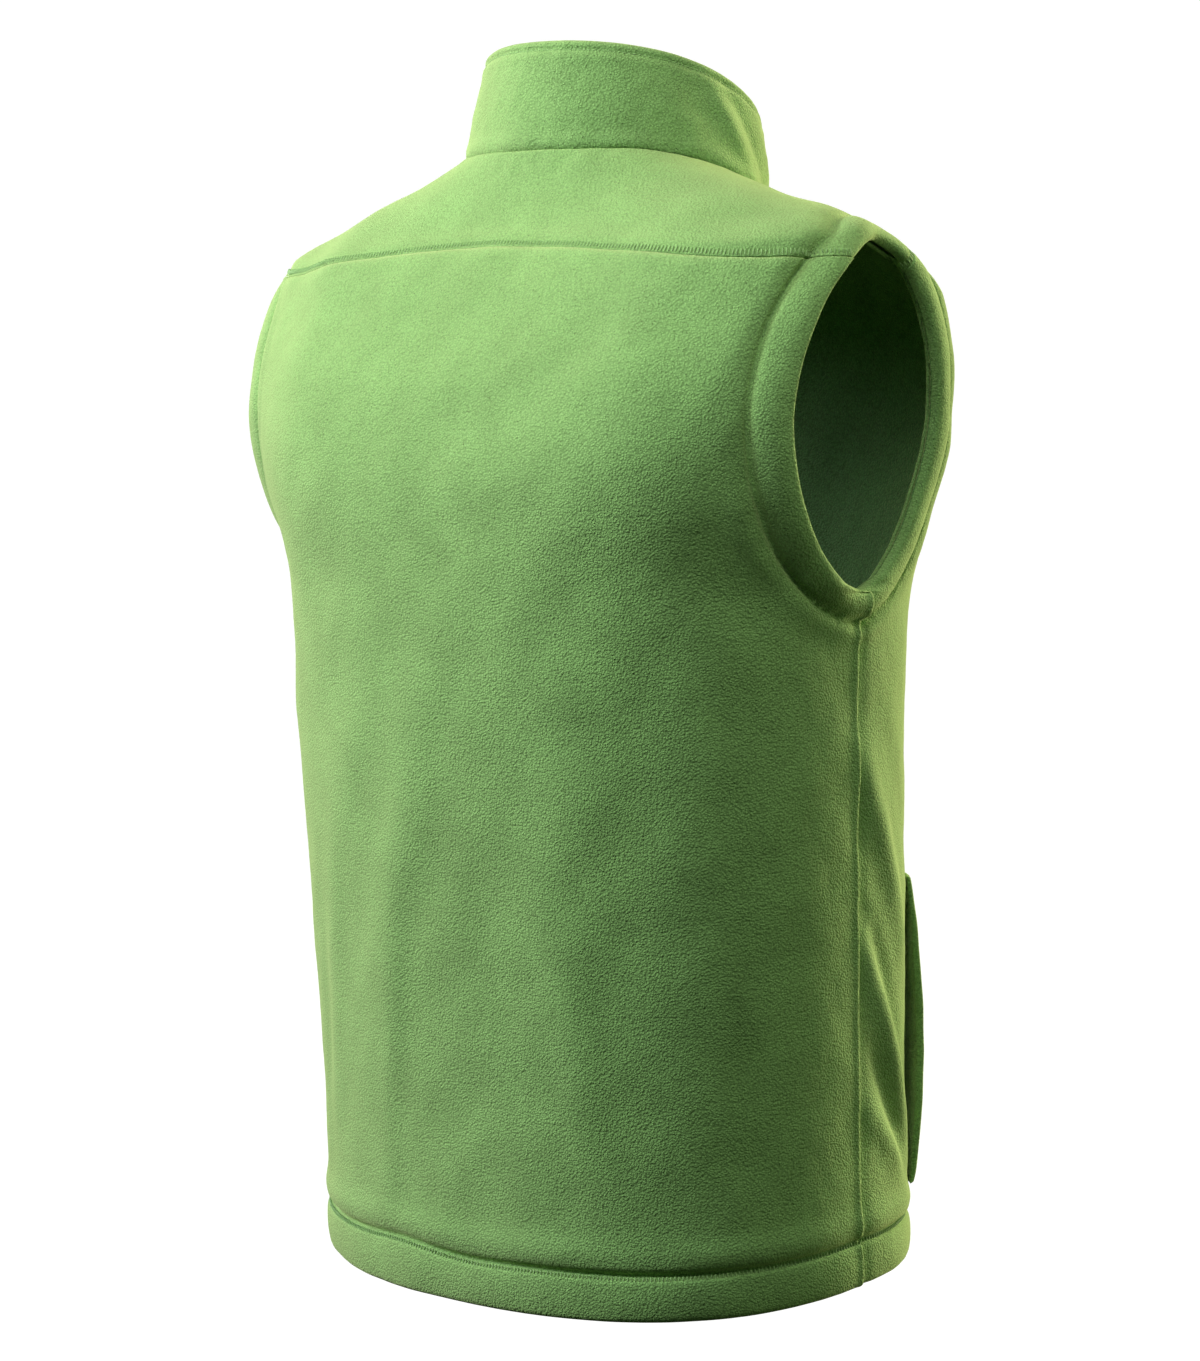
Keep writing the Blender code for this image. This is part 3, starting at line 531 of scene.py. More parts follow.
# ------------------------------------------------------------------ finishes
def fresh_material(name):
    """A new node material, its tree and its Principled shader."""
    made = bpy.data.materials.new(name)
    made.use_nodes = True
    return made, made.node_tree, made.node_tree.nodes["Principled BSDF"]


def add_node(tree, kind, inputs, **settings):
    """A shader node with its settings, each named input given a constant or a link."""
    node = tree.nodes.new("ShaderNode" + kind)
    for name, value in settings.items():
        setattr(node, name, value)
    for name, value in inputs.items():
        if isinstance(value, bpy.types.NodeSocket):
            tree.links.new(value, node.inputs[name])
        else:
            node.inputs[name].default_value = value
    return node


def opaque(colour):
    """A colour with full alpha."""
    return (*colour, 1.0)


NAP_GRAIN = 1300.0        # tufts a metre
NAP_PATCHES = 34.0        # and patches of nap that lie one way


def nap_group():
    """Node group: the pebbled nap of fleece, as a shade from 0 to 1 and a height."""
    group = bpy.data.node_groups.new("fleece_nap", "ShaderNodeTree")
    group.interface.new_socket("Place", in_out="INPUT", socket_type="NodeSocketVector")
    for label, value in (("Grain", NAP_GRAIN), ("Patches", NAP_PATCHES)):
        socket = group.interface.new_socket(label, in_out="INPUT", socket_type="NodeSocketFloat")
        socket.default_value = value
    for label in ("Shade", "Height", "Drift", "Specks"):
        group.interface.new_socket(label, in_out="OUTPUT", socket_type="NodeSocketFloat")
    enter = group.nodes.new("NodeGroupInput").outputs
    leave = group.nodes.new("NodeGroupOutput").inputs
    place = enter["Place"]
    tufts = add_node(group, "TexNoise", {
        "Vector": place, "Scale": enter["Grain"], "Detail": 2.5, "Roughness": 0.62})
    coarse = add_node(group, "Math", {0: enter["Grain"], 1: 0.58}, operation="MULTIPLY")
    pebbles = add_node(group, "TexVoronoi", {"Vector": place, "Scale": coarse.outputs[0]})
    invert = add_node(group, "Math", {0: 1.0, 1: pebbles.outputs["Distance"]}, operation="SUBTRACT")
    joined = add_node(group, "Mix", {
        "Factor": 0.60, "A": tufts.outputs["Fac"], "B": invert.outputs[0]}, data_type="FLOAT")
    shade = add_node(group, "MapRange", {
        "From Min": 0.36, "From Max": 0.72, "Value": joined.outputs["Result"]})
    spots = add_node(group, "TexNoise", {"Vector": place, "Scale": enter["Grain"], "Detail": 1.0})
    specks = add_node(group, "MapRange", {
        "From Min": 0.60, "From Max": 0.73, "Value": spots.outputs["Fac"]})
    patches = add_node(group, "TexNoise", {
        "Vector": place, "Scale": enter["Patches"], "Detail": 3.0})
    for label, output in (("Shade", shade.outputs["Result"]), ("Height", joined.outputs["Result"]),
                          ("Drift", patches.outputs["Fac"]), ("Specks", specks.outputs["Result"])):
        group.links.new(output, leave[label])
    return group


FLEECE_SHADER = {
    "Roughness": 0.95,
    "Specular IOR Level": 0.15,
    "Sheen Weight": 0.5,
    "Sheen Roughness": 0.45,
    "Sheen Tint": (0.80, 0.88, 0.45, 1.0),
}
SPECK_SHADE = 0.35                  # of the pits' colour
PAINTED_RIM_SHARE = 1.1                     # of the tufts' colour, in the painted rim light where the fleece is seen edge-on
PAINTED_RIM_LIGHT = (0.30, 0.17, 0.12)       # painted rim light added there
PAINTED_RIM_FULL_GREEN = 0.56                   # the tufts' green at which all of the painted rim light is added
NAP_HEIGHT = 0.0009


def fleece_material(name, nap, dark, light, height):
    """Napped fleece: dark pits between light tufts, mottled by the way the nap lies, with a painted rim
    light where it is seen edge-on.
    """
    made, tree, shader = fresh_material(name)
    place = add_node(tree, "TexCoord", {}).outputs["Object"]
    fleece = tree.nodes.new("ShaderNodeGroup")
    fleece.node_tree = nap
    fleece.inputs["Grain"].default_value = NAP_GRAIN
    fleece.inputs["Patches"].default_value = NAP_PATCHES
    tree.links.new(place, fleece.inputs["Place"])
    pits = add_node(tree, "Mix", {
        "Factor": fleece.outputs["Shade"], "A": opaque(dark), "B": opaque(light)}, data_type="RGBA")
    dotted = add_node(tree, "Mix", {
        "Factor": fleece.outputs["Specks"], "A": pits.outputs["Result"],
        "B": opaque(SPECK_SHADE * c for c in dark)}, data_type="RGBA")
    drift = add_node(tree, "MapRange", {
        "From Min": 0.3, "From Max": 0.7, "To Min": 0.90, "To Max": 1.08, "Value": fleece.outputs["Drift"]})
    mottle = add_node(tree, "Mix", {
        "Factor": 1.0, "A": dotted.outputs["Result"], "B": drift.outputs["Result"]},
        data_type="RGBA", blend_type="MULTIPLY")
    # Painted rim light: the colour turns to a pale warm green where the surface is seen edge-on.
    edge = add_node(tree, "LayerWeight", {"Blend": 0.16})
    pale = light[1] / PAINTED_RIM_FULL_GREEN
    rim = opaque(PAINTED_RIM_SHARE * c + pale * glow for c, glow in zip(light, PAINTED_RIM_LIGHT))
    painted_rim_mix = add_node(tree, "Mix", {
        "Factor": edge.outputs["Facing"], "A": mottle.outputs["Result"], "B": rim}, data_type="RGBA")
    tree.links.new(painted_rim_mix.outputs["Result"], shader.inputs["Base Color"])
    raised = add_node(tree, "Bump", {
        "Strength": 1.0, "Distance": height, "Height": fleece.outputs["Height"]})
    tree.links.new(raised.outputs["Normal"], shader.inputs["Normal"])
    for label, value in FLEECE_SHADER.items():
        shader.inputs[label].default_value = value
    return made


def woven_material(name, colour, scale, height, rough=0.8):
    """Plain woven or twisted yarn: fine crossing ribs."""
    made, tree, shader = fresh_material(name)
    place = add_node(tree, "TexCoord", {}).outputs["Object"]
    ribs = add_node(tree, "TexWave", {"Scale": scale, "Distortion": 1.5, "Vector": place},
                    wave_type="BANDS", bands_direction="DIAGONAL")
    tone = add_node(tree, "Mix", {
        "Factor": ribs.outputs["Fac"], "A": opaque(0.62 * c for c in colour), "B": opaque(colour)},
        data_type="RGBA")
    raised = add_node(tree, "Bump", {"Distance": height, "Height": ribs.outputs["Fac"]})
    tree.links.new(tone.outputs["Result"], shader.inputs["Base Color"])
    tree.links.new(raised.outputs["Normal"], shader.inputs["Normal"])
    shader.inputs["Roughness"].default_value = rough
    return made


def hard_material(name, colour, rough, metallic):
    """Moulded plastic or cast metal with fine uneven gloss."""
    made, tree, shader = fresh_material(name)
    place = add_node(tree, "TexCoord", {}).outputs["Object"]
    grain = add_node(tree, "TexNoise", {"Scale": 900.0, "Vector": place})
    gloss = add_node(tree, "MapRange", {
        "To Min": rough - 0.1, "To Max": rough + 0.1, "Value": grain.outputs["Fac"]})
    tree.links.new(gloss.outputs["Result"], shader.inputs["Roughness"])
    shader.inputs["Base Color"].default_value = opaque(colour)
    shader.inputs["Metallic"].default_value = metallic
    return made


FINISH = {}


def make_finishes(colours):
    """Every material, by the name that the builders use."""
    nap = nap_group()
    # The inside is the same fleece in a darker green, as painted shade for the vest's shaded interior.
    for name, label, colour, pit in (("fleece", "fleece", colours.fleece, colours.pit_depth),
                                     ("inside", "fleece_inside", colours.inside, 0.6)):
        light = np.array(colour)
        FINISH[name] = fleece_material(label, nap, tuple(light * pit), tuple(light), NAP_HEIGHT)
    # The pocket cloth takes the inside's green, darkened as painted shade, a little darker still.
    bag = np.array(colours.inside) * 0.9
    FINISH["bag"] = woven_material("pocket_cloth", tuple(bag), 700.0, 0.0002)
    FINISH["thread"] = woven_material("thread", tuple(colours.thread), 1500.0, 0.0001, 0.6)
    FINISH["tape"] = woven_material("zip_tape", tuple(colours.tape), 900.0, 0.0002)
    FINISH["teeth"] = hard_material("zip_teeth", tuple(colours.teeth), 0.40, 0.0)
    FINISH["metal"] = hard_material("zip_metal", tuple(colours.metal), 0.34, 1.0)


# ------------------------------------------------------------------ the cloth's surface
HEM_STEP_X = 0.048         # where the hem's groove stands highest, on the back
HEM_STEP_HALF = 0.036
HEM_STEP = 0.0038
HEM_WANDER = 0.0010
HEM_PUFF = 0.0018


def hem_line(points):
    """Height of the hem's stitch groove above the edge: it wanders, and steps on the back."""
    rise = HEM_STEP * bump(points[..., 0], HEM_STEP_X, HEM_STEP_HALF) * (points[..., 1] > 0)
    return HEM_DEPTH + HEM_WANDER * ripple(points * (1, 1, 0), 0.14, 12, 7) + rise


def hem_relief(height, points):
    """The stitched hem: a puffed band, the stitch groove, and the body puffing over it."""
    swell = 1.0 + 0.35 * ripple(points, 0.09, 11)
    line = hem_line(points)
    band = HEM_PUFF * np.sin(np.pi * np.clip(height / line, 0, 1)) ** 0.7
    groove = ridge(height - line, "hem_groove")
    over = ridge(height - line, "hem_overhang") * np.clip(swell, 0.4, 1.6)
    return np.where(height < line, band, 0) + groove + over


BAND_TUBE = 0.0036
BAND_GROOVE = 0.0026
BAND_BEYOND = 0.0014       # the body's own puff next to the groove


def band_relief(share, points):
    """An armhole's turned-in band: a round tube between its fold and its stitch line."""
    inside = np.clip(share, 0, 1)
    tube = BAND_TUBE * np.sin(np.pi * inside**0.75) ** 0.75
    groove = -BAND_GROOVE * bump(share, 1.0, 0.070)
    beyond = BAND_BEYOND * bump(share, 1.42, 0.30) * (1 + 0.5 * ripple(points, 0.05, 5))
    return np.where(share < 1, tube, 0) + groove + np.where(share > 1, beyond, 0)


# Height by which the back of a band stands off the body, at shares from its fold (0) and stitch line (1).
RIGHT_FLARE = ((-0.3, 0.0, 1.0, 2.2, 5.0), (0.0096, 0.0080, -0.0008, -0.0018, 0.0))
LEFT_FLARE = ((-0.3, 0.0, 1.0, 1.6, 2.8, 6.0), (0.0064, 0.0050, -0.0040, -0.0064, -0.0046, 0.0))


def band_flare(share, points):
    """The back of an armhole's band stands off the body, and on the left the body sinks behind it."""
    back = ramp(points[..., 1], -0.010, 0.055)
    aside = ramp(np.abs(points[..., 0]), 0.12, 0.05)
    s = np.clip(share, -0.3, 6.0)
    rise = np.where(points[..., 0] < 0, np.interp(s, *RIGHT_FLARE), np.interp(s, *LEFT_FLARE))
    return smooth(back) * smooth(aside) * rise


def surface(turn, level):
    """Points of the cloth's outer face with its relief, and the outward directions."""
    turn, level = np.broadcast_arrays(np.asarray(turn, float), np.asarray(level, float))
    plain, normals = folded_form(turn, level)
    lift = fold_height(turn, level, SMALL_FOLDS)
    height = level - HEM_LEVEL
    share = armhole_share(plain)
    lift = lift + hem_relief(height, plain) + band_relief(share, plain) + band_flare(share, plain)
    lift = lift + 0.00045 * ripple(plain, 0.045, 2) + 0.00012 * ripple(plain, 0.014, 3, 14)
    return plain + normals * lift[..., None], normals, share, height


def seam_least(share):
    """The thickness share left along the yoke seam, which flattens where it crosses a band."""
    return SEAM + (BAND_SEAM - SEAM) * (1 - ramp(share, 1.05, 0.2))


def panel_thickness(share, height):
    """Thickness of a panel's cloth, which is turned in at the armhole and turned up at the hem."""
    band = 1 - ramp(share, 0.86, 0.12)
    hem = 1 - ramp(height, HEM_DEPTH, 0.002)
    round_band = 0.0016 * np.sin(np.pi * np.clip(share, 0, 1) ** 0.75)
    return CLOTH + (BAND_CLOTH - CLOTH) * band + (TURNED_CLOTH - CLOTH) * hem + round_band


def layers(points, normals, thick, distances):
    """Face and back of a panel whose listed edges (distance, radius, least thickness) are rounded."""
    half = thick / 2
    for distance, radius, least in distances:
        half = np.minimum(half, half_thickness(distance, thick, radius, least))
    face = points - normals * (thick / 2 - half)[..., None]
    return face, points - normals * (thick / 2 + half)[..., None]


def line_at(grid, distance, wanted):
    """The line across a grid at a wanted distance from its foot."""
    wanted = np.broadcast_to(wanted, grid.shape[1])
    line = np.empty((grid.shape[1], 3))
    for j in range(grid.shape[1]):
        for k in range(3):
            line[j, k] = np.interp(wanted[j], distance[:, j], grid[:, j, k])
    return line


def upright_line(face, normals, distance, wanted):
    """The line up a panel at a wanted distance from one of its sides."""
    order = slice(None, None, -1 if distance[0, 0] > distance[0, -1] else 1)
    across = distance.T[order]
    return [line_at(np.swapaxes(grid, 0, 1)[order], across, wanted) for grid in (face, normals)]


def hem_stitches(face, normals, foot):
    """The line of the hem's stitches, in its groove."""
    groove = hem_line(face)[0] + 0.0002
    return line_at(face, foot, groove), line_at(normals, foot, groove)


SIDE_ROWS = (0.0031, 0.0012)                # spacing of rows, and of those at the ends
SHOULDER_ROWS = (0.024, 0.0085, 1.25)       # in shares, and each row's growth over the last


def row_levels():
    """Levels from the hem to the underarm, fine in the hem, on the pocket's ends and at the top."""
    hem = np.array((0, .0004, .0010, .0018, .0030, .0045, .0062, .0085, .0112, .0140, .0168, .0192,
                    .0210, .0222, .0232, .0240, .0248, .0256, .0264, .0272, .0281, .0292, .0306,
                    .0324, .0346, .0372, .0400, .0430, .0457))
    pocket = steps(POCKET_FOOT, POCKET_TOP, *SIDE_ROWS)
    above = steps(POCKET_TOP, UNDERARM_Z, *SIDE_ROWS)
    return np.concatenate((HEM_LEVEL + hem, pocket, above[1:]))


def eased_levels(edge_level, straight, inward):
    """Row levels that follow a curved edge and become evenly spaced further in from it.

    The first `straight` rows are level all across; `inward` is 0 at the curved edge.
    """
    even = edge_level.copy()
    curved = len(edge_level) - straight + 1
    even[straight - 1:] = np.linspace(edge_level[straight - 1], edge_level[-1], curved)
    return edge_level[:, None] + (even - edge_level)[:, None] * smooth(np.clip(inward / 0.45, 0, 1))


LINES = {}                 # each row of stitches' line, with its outward directions


# ------------------------------------------------------------------ pieces
LAP = 0.0072               # the back laps this far over the front under each arm
LAP_FOOT = -0.2625
LAP_START = 0.935          # share of the half width where it begins


def build_back():
    """The back panel, which laps over the fronts just below the arms."""
    side_levels = row_levels()
    angles = steps(UNDERARM, YOKE_CORNER, 0.0300, 0.0060, first=False)[1:]
    arm_turn, arm_level = armhole_place(angles)
    edge_turn = np.append(side_seam_turn(side_levels, 1), arm_turn)
    edge_level = np.append(side_levels, arm_level)
    up_arm = ramp(edge_level, UNDERARM_Z, edge_level[-1] - UNDERARM_Z)
    corner_x = width_share(edge_turn[-1], edge_level[-1])
    u = steps(-1.0, 1.0, 0.0105, 0.0016)[None, :]
    turn = RIGHT_ANGLE + (edge_turn[:, None] - RIGHT_ANGLE) * u
    level = eased_levels(edge_level, len(side_levels), 1 - np.abs(u))
    x = width_share(turn, level)
    level = level + YOKE_FALL * up_arm[:, None] * (corner_x**2 - np.minimum(x**2, corner_x**2))
    lap = ramp(edge_level, LAP_FOOT, 0.004) * (1 - ramp(edge_level, UNDERARM_Z, 0.006))
    lap = smooth(lap)[:, None]
    reach = ramp(np.abs(u), LAP_START, 1 - LAP_START)
    turn = turn - np.sign(u) * lap * reach * LAP / 0.2
    points, normals, share, height = surface(turn, level)
    left, right, foot, top = edge_distances(points)
    seam = np.minimum(left, right)
    raised = ridge(seam, "side_back") * (level < UNDERARM_Z) + lap * ridge(seam, "lap")
    dimple = ridge(seam, "lap_dimple") * bump(level, LAP_FOOT - 0.001, 0.004)
    pucker = 0.0006 * ripple(points, 0.020, 21) * np.exp(-top / 0.012) * (top > 0.003)
    body = ramp(share, 1.05, 0.2)
    yoke_edge = body * (ridge(top, "yoke_edge") + ridge(top, "yoke_seam"))
    points = points + normals * (raised + dimple + pucker + yoke_edge)[..., None]
    thick = panel_thickness(share, height)
    below_arm = np.arange(len(edge_level))[:, None] < len(side_levels)
    side_least = np.where(below_arm, SIDE_SEAM, FREE) + 0 * seam
    face, back = layers(points, normals, thick, (
        (seam, 0.0017, side_least), (foot, HEM_ROUND, FREE), (top, SEAM_ROUND, seam_least(share))))
    piece = cloth_wall("back", face, back, ("fleece", "inside"))
    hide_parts("back_panel")
    LINES["hem_back"] = hem_stitches(face, normals, foot)


YOKE_SPAN = 15.0           # columns are counted from the middle to each front shoulder seam
YOKE_CORNER_AT = 9.0       # and this one comes to the armhole


def yoke_grid():
    """Turns and levels of the yoke, with the columns' own places from -YOKE_SPAN to YOKE_SPAN."""
    corner_turn, _ = armhole_place(YOKE_CORNER)
    front_end = FRONT_CORNER - SEAM_GAP / ARMHOLE_EDGE["front"]
    neck_end = SHOULDER_SEAM_NECK + SEAM_GAP / COLLAR_TOP["half"]
    a = steps(-YOKE_SPAN, YOKE_SPAN, 0.125, 0.028)
    v = steps(0.0, 1.0, *SHOULDER_ROWS)[:, None]
    step = np.abs(a)[None, :]
    back_share = np.clip(step / YOKE_CORNER_AT, 0, 1)
    over = np.clip((step - YOKE_CORNER_AT) / (YOKE_SPAN - YOKE_CORNER_AT), 0, 1)
    on_back = step <= YOKE_CORNER_AT
    back_turn = RIGHT_ANGLE + (corner_turn - RIGHT_ANGLE) * back_share
    arm_turn, arm_level = armhole_place(YOKE_CORNER + (front_end - YOKE_CORNER) * over)
    foot_turn = np.where(on_back, back_turn, arm_turn)
    foot_level = np.where(on_back, yoke_level(back_turn, YOKE_LEVEL), arm_level)
    neck_back = RIGHT_ANGLE + (YOKE_NECK_CORNER - RIGHT_ANGLE) * back_share
    neck_turn = np.where(on_back, neck_back, YOKE_NECK_CORNER + (neck_end - YOKE_NECK_CORNER) * over)
    turn = foot_turn + (neck_turn - foot_turn) * v
    level = foot_level + (NECK_LEVEL - foot_level) * shoulder_law(v)
    return np.where(a[None, :] < 0, math.pi - turn, turn), level, a


def build_yoke():
    """The back yoke with both shoulder tops."""
    turn, level, a = yoke_grid()
    points, normals, share, height = surface(turn, level)
    left, right, foot, top = edge_distances(points)
    ends = np.minimum(left, right)
    on_seam = (np.abs(a) < YOKE_CORNER_AT - 0.01)[None, :]
    seam_foot = np.where(on_seam, foot, 1.0)
    pressed = -0.0004 * (1 - ramp(seam_foot, 0.0046, 0.0014))
    pressed = pressed + ridge(seam_foot, "yoke_swell")
    pressed = pressed * ramp(share, 1.05, 0.2)
    pressed = pressed - 0.0008 * (1 - ramp(ends, 0.0050, 0.0012))
    pucker = 0.0003 * ripple(points, 0.018, 31) * bump(top, 0.010, 0.009)
    points = points + normals * (pressed + pucker)[..., None]
    thick = panel_thickness(share, height)
    radius = np.where(on_seam, 0.0016, 0.0026) + 0 * foot
    foot_least = np.where(on_seam, seam_least(share), FREE)
    fold = 0.018 * np.clip(share, 0, None)
    face, back = layers(points, normals, thick, (
        (ends, SEAM_ROUND, SEAM), (foot, radius, foot_least), (fold, 0.0026, FREE),
        (top, NECK_ROUND, FREE)))
    piece = cloth_wall("yoke", face, back, ("fleece", "inside"))
    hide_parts("back_yoke")
    seam = np.abs(a) <= YOKE_CORNER_AT - 0.05
    LINES["yoke"] = [line_at(grid, foot, STITCH_ROWS["yoke"])[seam] for grid in (face, normals)]
    for word, distance in (("left", right), ("right", left)):
        LINES["shoulder_" + word] = upright_line(face, normals, distance, STITCH_ROWS["shoulder"])


def build_front(word, side):
    """One front, with an armhole's front half and an open pocket mouth."""
    side_levels = row_levels()
    angles = steps(UNDERARM, FRONT_CORNER - 2 * math.pi, 0.0310, 0.0060, first=False)[1:]
    arm_turn, arm_level = armhole_place(angles)
    corner_turn, corner_level = armhole_place(FRONT_CORNER)
    v = steps(0.0, 1.0, *SHOULDER_ROWS, first=False)[1:]
    up_turn = corner_turn + (SHOULDER_SEAM_NECK - corner_turn) * v
    up_level = corner_level + (NECK_LEVEL - corner_level) * shoulder_law(v)
    edge_turn = np.concatenate((side_seam_turn(side_levels, -1), arm_turn, up_turn))
    edge_level = np.concatenate((side_levels, arm_level, up_level))
    first = int(np.argmin(np.abs(edge_level[:len(side_levels)] - POCKET_FOOT)))
    last = int(np.argmin(np.abs(edge_level[:len(side_levels)] - POCKET_TOP)))
    share = ramp(edge_level, POCKET_FOOT, POCKET_TOP - POCKET_FOOT)
    inside = np.clip(6 * np.sin(np.pi * share), 0, 1)
    mouth = (POCKET_END + (POCKET_MOUTH - POCKET_END) * inside) / MEAN_RADIUS
    zip_turn = turn_at_x(edge_level, ZIP_HALF_GAP)
    scale = (zip_turn - edge_turn) / (zip_turn[0] - edge_turn[0])
    near = edge_turn + (POCKET_TURN - edge_turn[0]) * scale + mouth / 2
    far = near - mouth
    behind = steps(0.0, 1.0, 0.031, 0.0070)
    before = steps(0.0, 1.0, 0.0128, 0.0028)
    slit = len(behind) - 1
    turn = np.concatenate((edge_turn[:, None] + (near - edge_turn)[:, None] * behind,
                           far[:, None] + (zip_turn - far)[:, None] * before), 1)
    inward = (turn - edge_turn[:, None]) / (zip_turn - edge_turn)[:, None]
    level = eased_levels(edge_level, len(side_levels), inward)
    turn = on_side(turn, side)
    points, normals, share, height = surface(turn, level)
    points[:, -1, 0] = side * ZIP_HALF_GAP
    seam, zip_edge, foot, top = edge_distances(points)
    to_near = seam[:, slit:slit + 1] - seam[:, :slit + 1]
    from_far = seam[:, slit + 1:] - seam[:, slit + 1:slit + 2]
    open_row = ((np.arange(len(edge_level)) >= first) & (np.arange(len(edge_level)) <= last))[:, None]
    to_slit = np.where(open_row, np.concatenate((to_near, from_far), 1), 1.0)
    row = np.arange(len(edge_level))[:, None]
    on_shoulder = row >= len(side_levels) + len(arm_turn)
    sunk = ridge(seam, "side_front") * (level < UNDERARM_Z)
    under_lap = ramp(level, LAP_FOOT - 0.0035, 0.005) * (1 - ramp(level, UNDERARM_Z + 0.004, 0.005))
    sunk = sunk + ridge(seam, "under_lap") * under_lap
    topstitch = ridge(zip_edge, "zip_row") + ridge(zip_edge, "zip_fold")
    pucker = 0.0006 * ripple(points, 0.018, 41 + side) * np.exp(-zip_edge / 0.015)
    points = points + normals * (sunk + topstitch + pucker)[..., None]
    points[:, -1, 0] = side * ZIP_HALF_GAP
    thick = panel_thickness(share, height)
    edge_radius = np.where(on_shoulder, SEAM_ROUND, 0.0019) + 0 * seam
    side_least = np.where(row < len(side_levels), SIDE_SEAM, FREE)
    side_least = np.where(on_shoulder, SEAM, side_least) + 0 * seam
    face, back = layers(points, normals, thick, (
        (seam, edge_radius, side_least), (zip_edge, ZIP_ROUND, FREE), (foot, HEM_ROUND, FREE),
        (top, NECK_ROUND, FREE), (to_slit, ZIP_ROUND, FREE)))
    for grid in (face, back):
        grid[:, -1, 0] = side * ZIP_HALF_GAP
    piece = cloth_wall("front_" + word + "_cloth", face, back, ("fleece", "inside"),
                       slit=(slit, first, last))
    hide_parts("front_" + word)
    LINES["hem_" + word] = hem_stitches(face, normals, foot)
    LINES["zip_" + word] = upright_line(face, normals, zip_edge, STITCH_ROWS["edge"])


COLLAR_RADIUS = 0.088
COLLAR_HEIGHT = 0.062
COLLAR_PUFF = 0.0012
# Folds: start and end as turn in degrees and share of the height, half width and height in metres.
COLLAR_FOLDS = (
    (164.0, 0.86, 190.0, 0.10, 0.0065, 0.0022),
    (174.0, 0.90, 203.0, 0.20, 0.0055, -0.0016),
    (150.0, 0.74, 176.0, 0.12, 0.0090, -0.0011),
    (196.0, 0.80, 215.0, 0.25, 0.0070, 0.0013),
    (16.0, 0.84, -8.0, 0.12, 0.0070, 0.0020),
    (4.0, 0.90, -22.0, 0.20, 0.0060, -0.0014),
    (-32.0, 0.75, -48.0, 0.20, 0.0080, 0.0010),
    (96.0, 0.20, 78.0, 0.06, 0.0100, 0.0007),
    (206.0, 0.0, 230.0, 0.0, 0.0170, -0.0034),
)


def collar_line(turn, share):
    """The collar's face at a turn, from the neck seam (0) to the top (1)."""
    foot = form_point(turn, np.full(np.shape(turn), NECK_LEVEL))
    x, y, part = ring_place(turn, COLLAR_TOP["half"], COLLAR_TOP["behind"], COLLAR_TOP["before"], 2.0)
    z = COLLAR_TOP["side"] + COLLAR_TOP["tilt"] * part + COLLAR_TOP["dip"] * part**2
    top = np.stack((x, y, z), -1)
    return foot + (top - foot) * np.asarray(share)[..., None]


def build_collar():
    """The stand collar, two layers of cloth in one wall."""
    start = math.asin(ZIP_HALF_GAP / COLLAR_TOP["half"]) - RIGHT_ANGLE
    turn = steps(start, math.pi - start, 0.0250, 0.0060)[None, :]
    share = steps(-COLLAR_TUCK / COLLAR_HEIGHT, 1.0, 0.034, 0.0075, 1.22)[:, None]
    turn, share = np.broadcast_arrays(turn, share)
    out = np.stack((np.cos(turn), np.sin(turn), 0 * turn), -1)
    points = collar_line(turn, share)
    left, right, foot, top = edge_distances(points)
    lift = COLLAR_PUFF * np.sin(np.pi * share) + ridge(foot, "collar_foot")
    lift = lift - 0.0022 * (1 - ramp(foot, 0.0010, COLLAR_TUCK))
    lift = lift + fold_height(turn, share, COLLAR_FOLDS, COLLAR_RADIUS, COLLAR_HEIGHT, 0.1)
    ends = np.minimum(left, right)
    lift = lift + ridge(top, "collar_row") + ridge(top, "collar_fold") + ridge(ends, "collar_end")
    lift = lift + 0.0004 * ripple(points, 0.035, 51) + 0.0002 * ripple(points, 0.012, 52, 14)
    above = np.clip(foot - COLLAR_TUCK, 0, None)
    pucker = np.exp(-above / 0.009) * np.clip(above / 0.003, 0, 1)
    lift = lift + 0.0010 * ripple(points, 0.022, 53) * pucker
    points = points + out * lift[..., None]
    thick = np.full(share.shape, TURNED_CLOTH)
    face, back = layers(points, out, thick, (
        (foot, 0.0030, 0.3), (top, 0.0030, FREE), (ends, 0.0020, FREE)))
    for grid in (face, back):
        grid[:, 0, 0] = ZIP_HALF_GAP
        grid[:, -1, 0] = -ZIP_HALF_GAP
    piece = cloth_wall("stand_collar", face, back, ("fleece", "fleece"))
    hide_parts("collar")
    LINES["collar"] = [line_at(grid[::-1], top[::-1], STITCH_ROWS["collar"]) for grid in (face, out)]


FACING_ROW = 0.34          # share across the band where a facing's stitches press it
FACING_PRESS = 0.0010
FACING_CLOTH = 0.0022
FACING_SPAN = (0.10, 0.86)
FACING_PART = math.radians(0.5)        # half the gap between the two halves


def build_facing(word, side, back_half):
    """A strip inside half of an armhole's band."""
    start = UNDERARM + FACING_PART * (1 if back_half else -1)
    end = RIGHT_ANGLE - FACING_PART if back_half else FACING_PART - 3 * RIGHT_ANGLE
    angle = steps(start, end, 0.036, 0.012)[None, :]
    share = steps(*FACING_SPAN, 0.075, 0.02)[:, None]
    angle, share = np.broadcast_arrays(angle, share)
    turn, level = armhole_place(angle, share)
    turn = on_side(turn, side)
    points, normals = folded_form(turn, level)
    sides = edge_distances(points)
    row = bump(share, FACING_ROW, 0.05)
    sink = CLOTH + LAYER_GAP + FACING_PRESS / 2 * row + 0.0002 * ripple(points, 0.015, 61)
    sink = sink - band_flare(share, points)
    points = points - normals * sink[..., None]
    thick = FACING_CLOTH - FACING_PRESS * row
    face, back = layers(points, normals, thick, [(distance, FACING_CLOTH / 2, FREE) for distance in sides])
    half = "back" if back_half else "front"
    name = "facing_" + half + "_" + word
    piece = cloth_wall(name, face, back, ("fleece", "fleece"))
    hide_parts("armhole_facing_" + half + "_" + word)


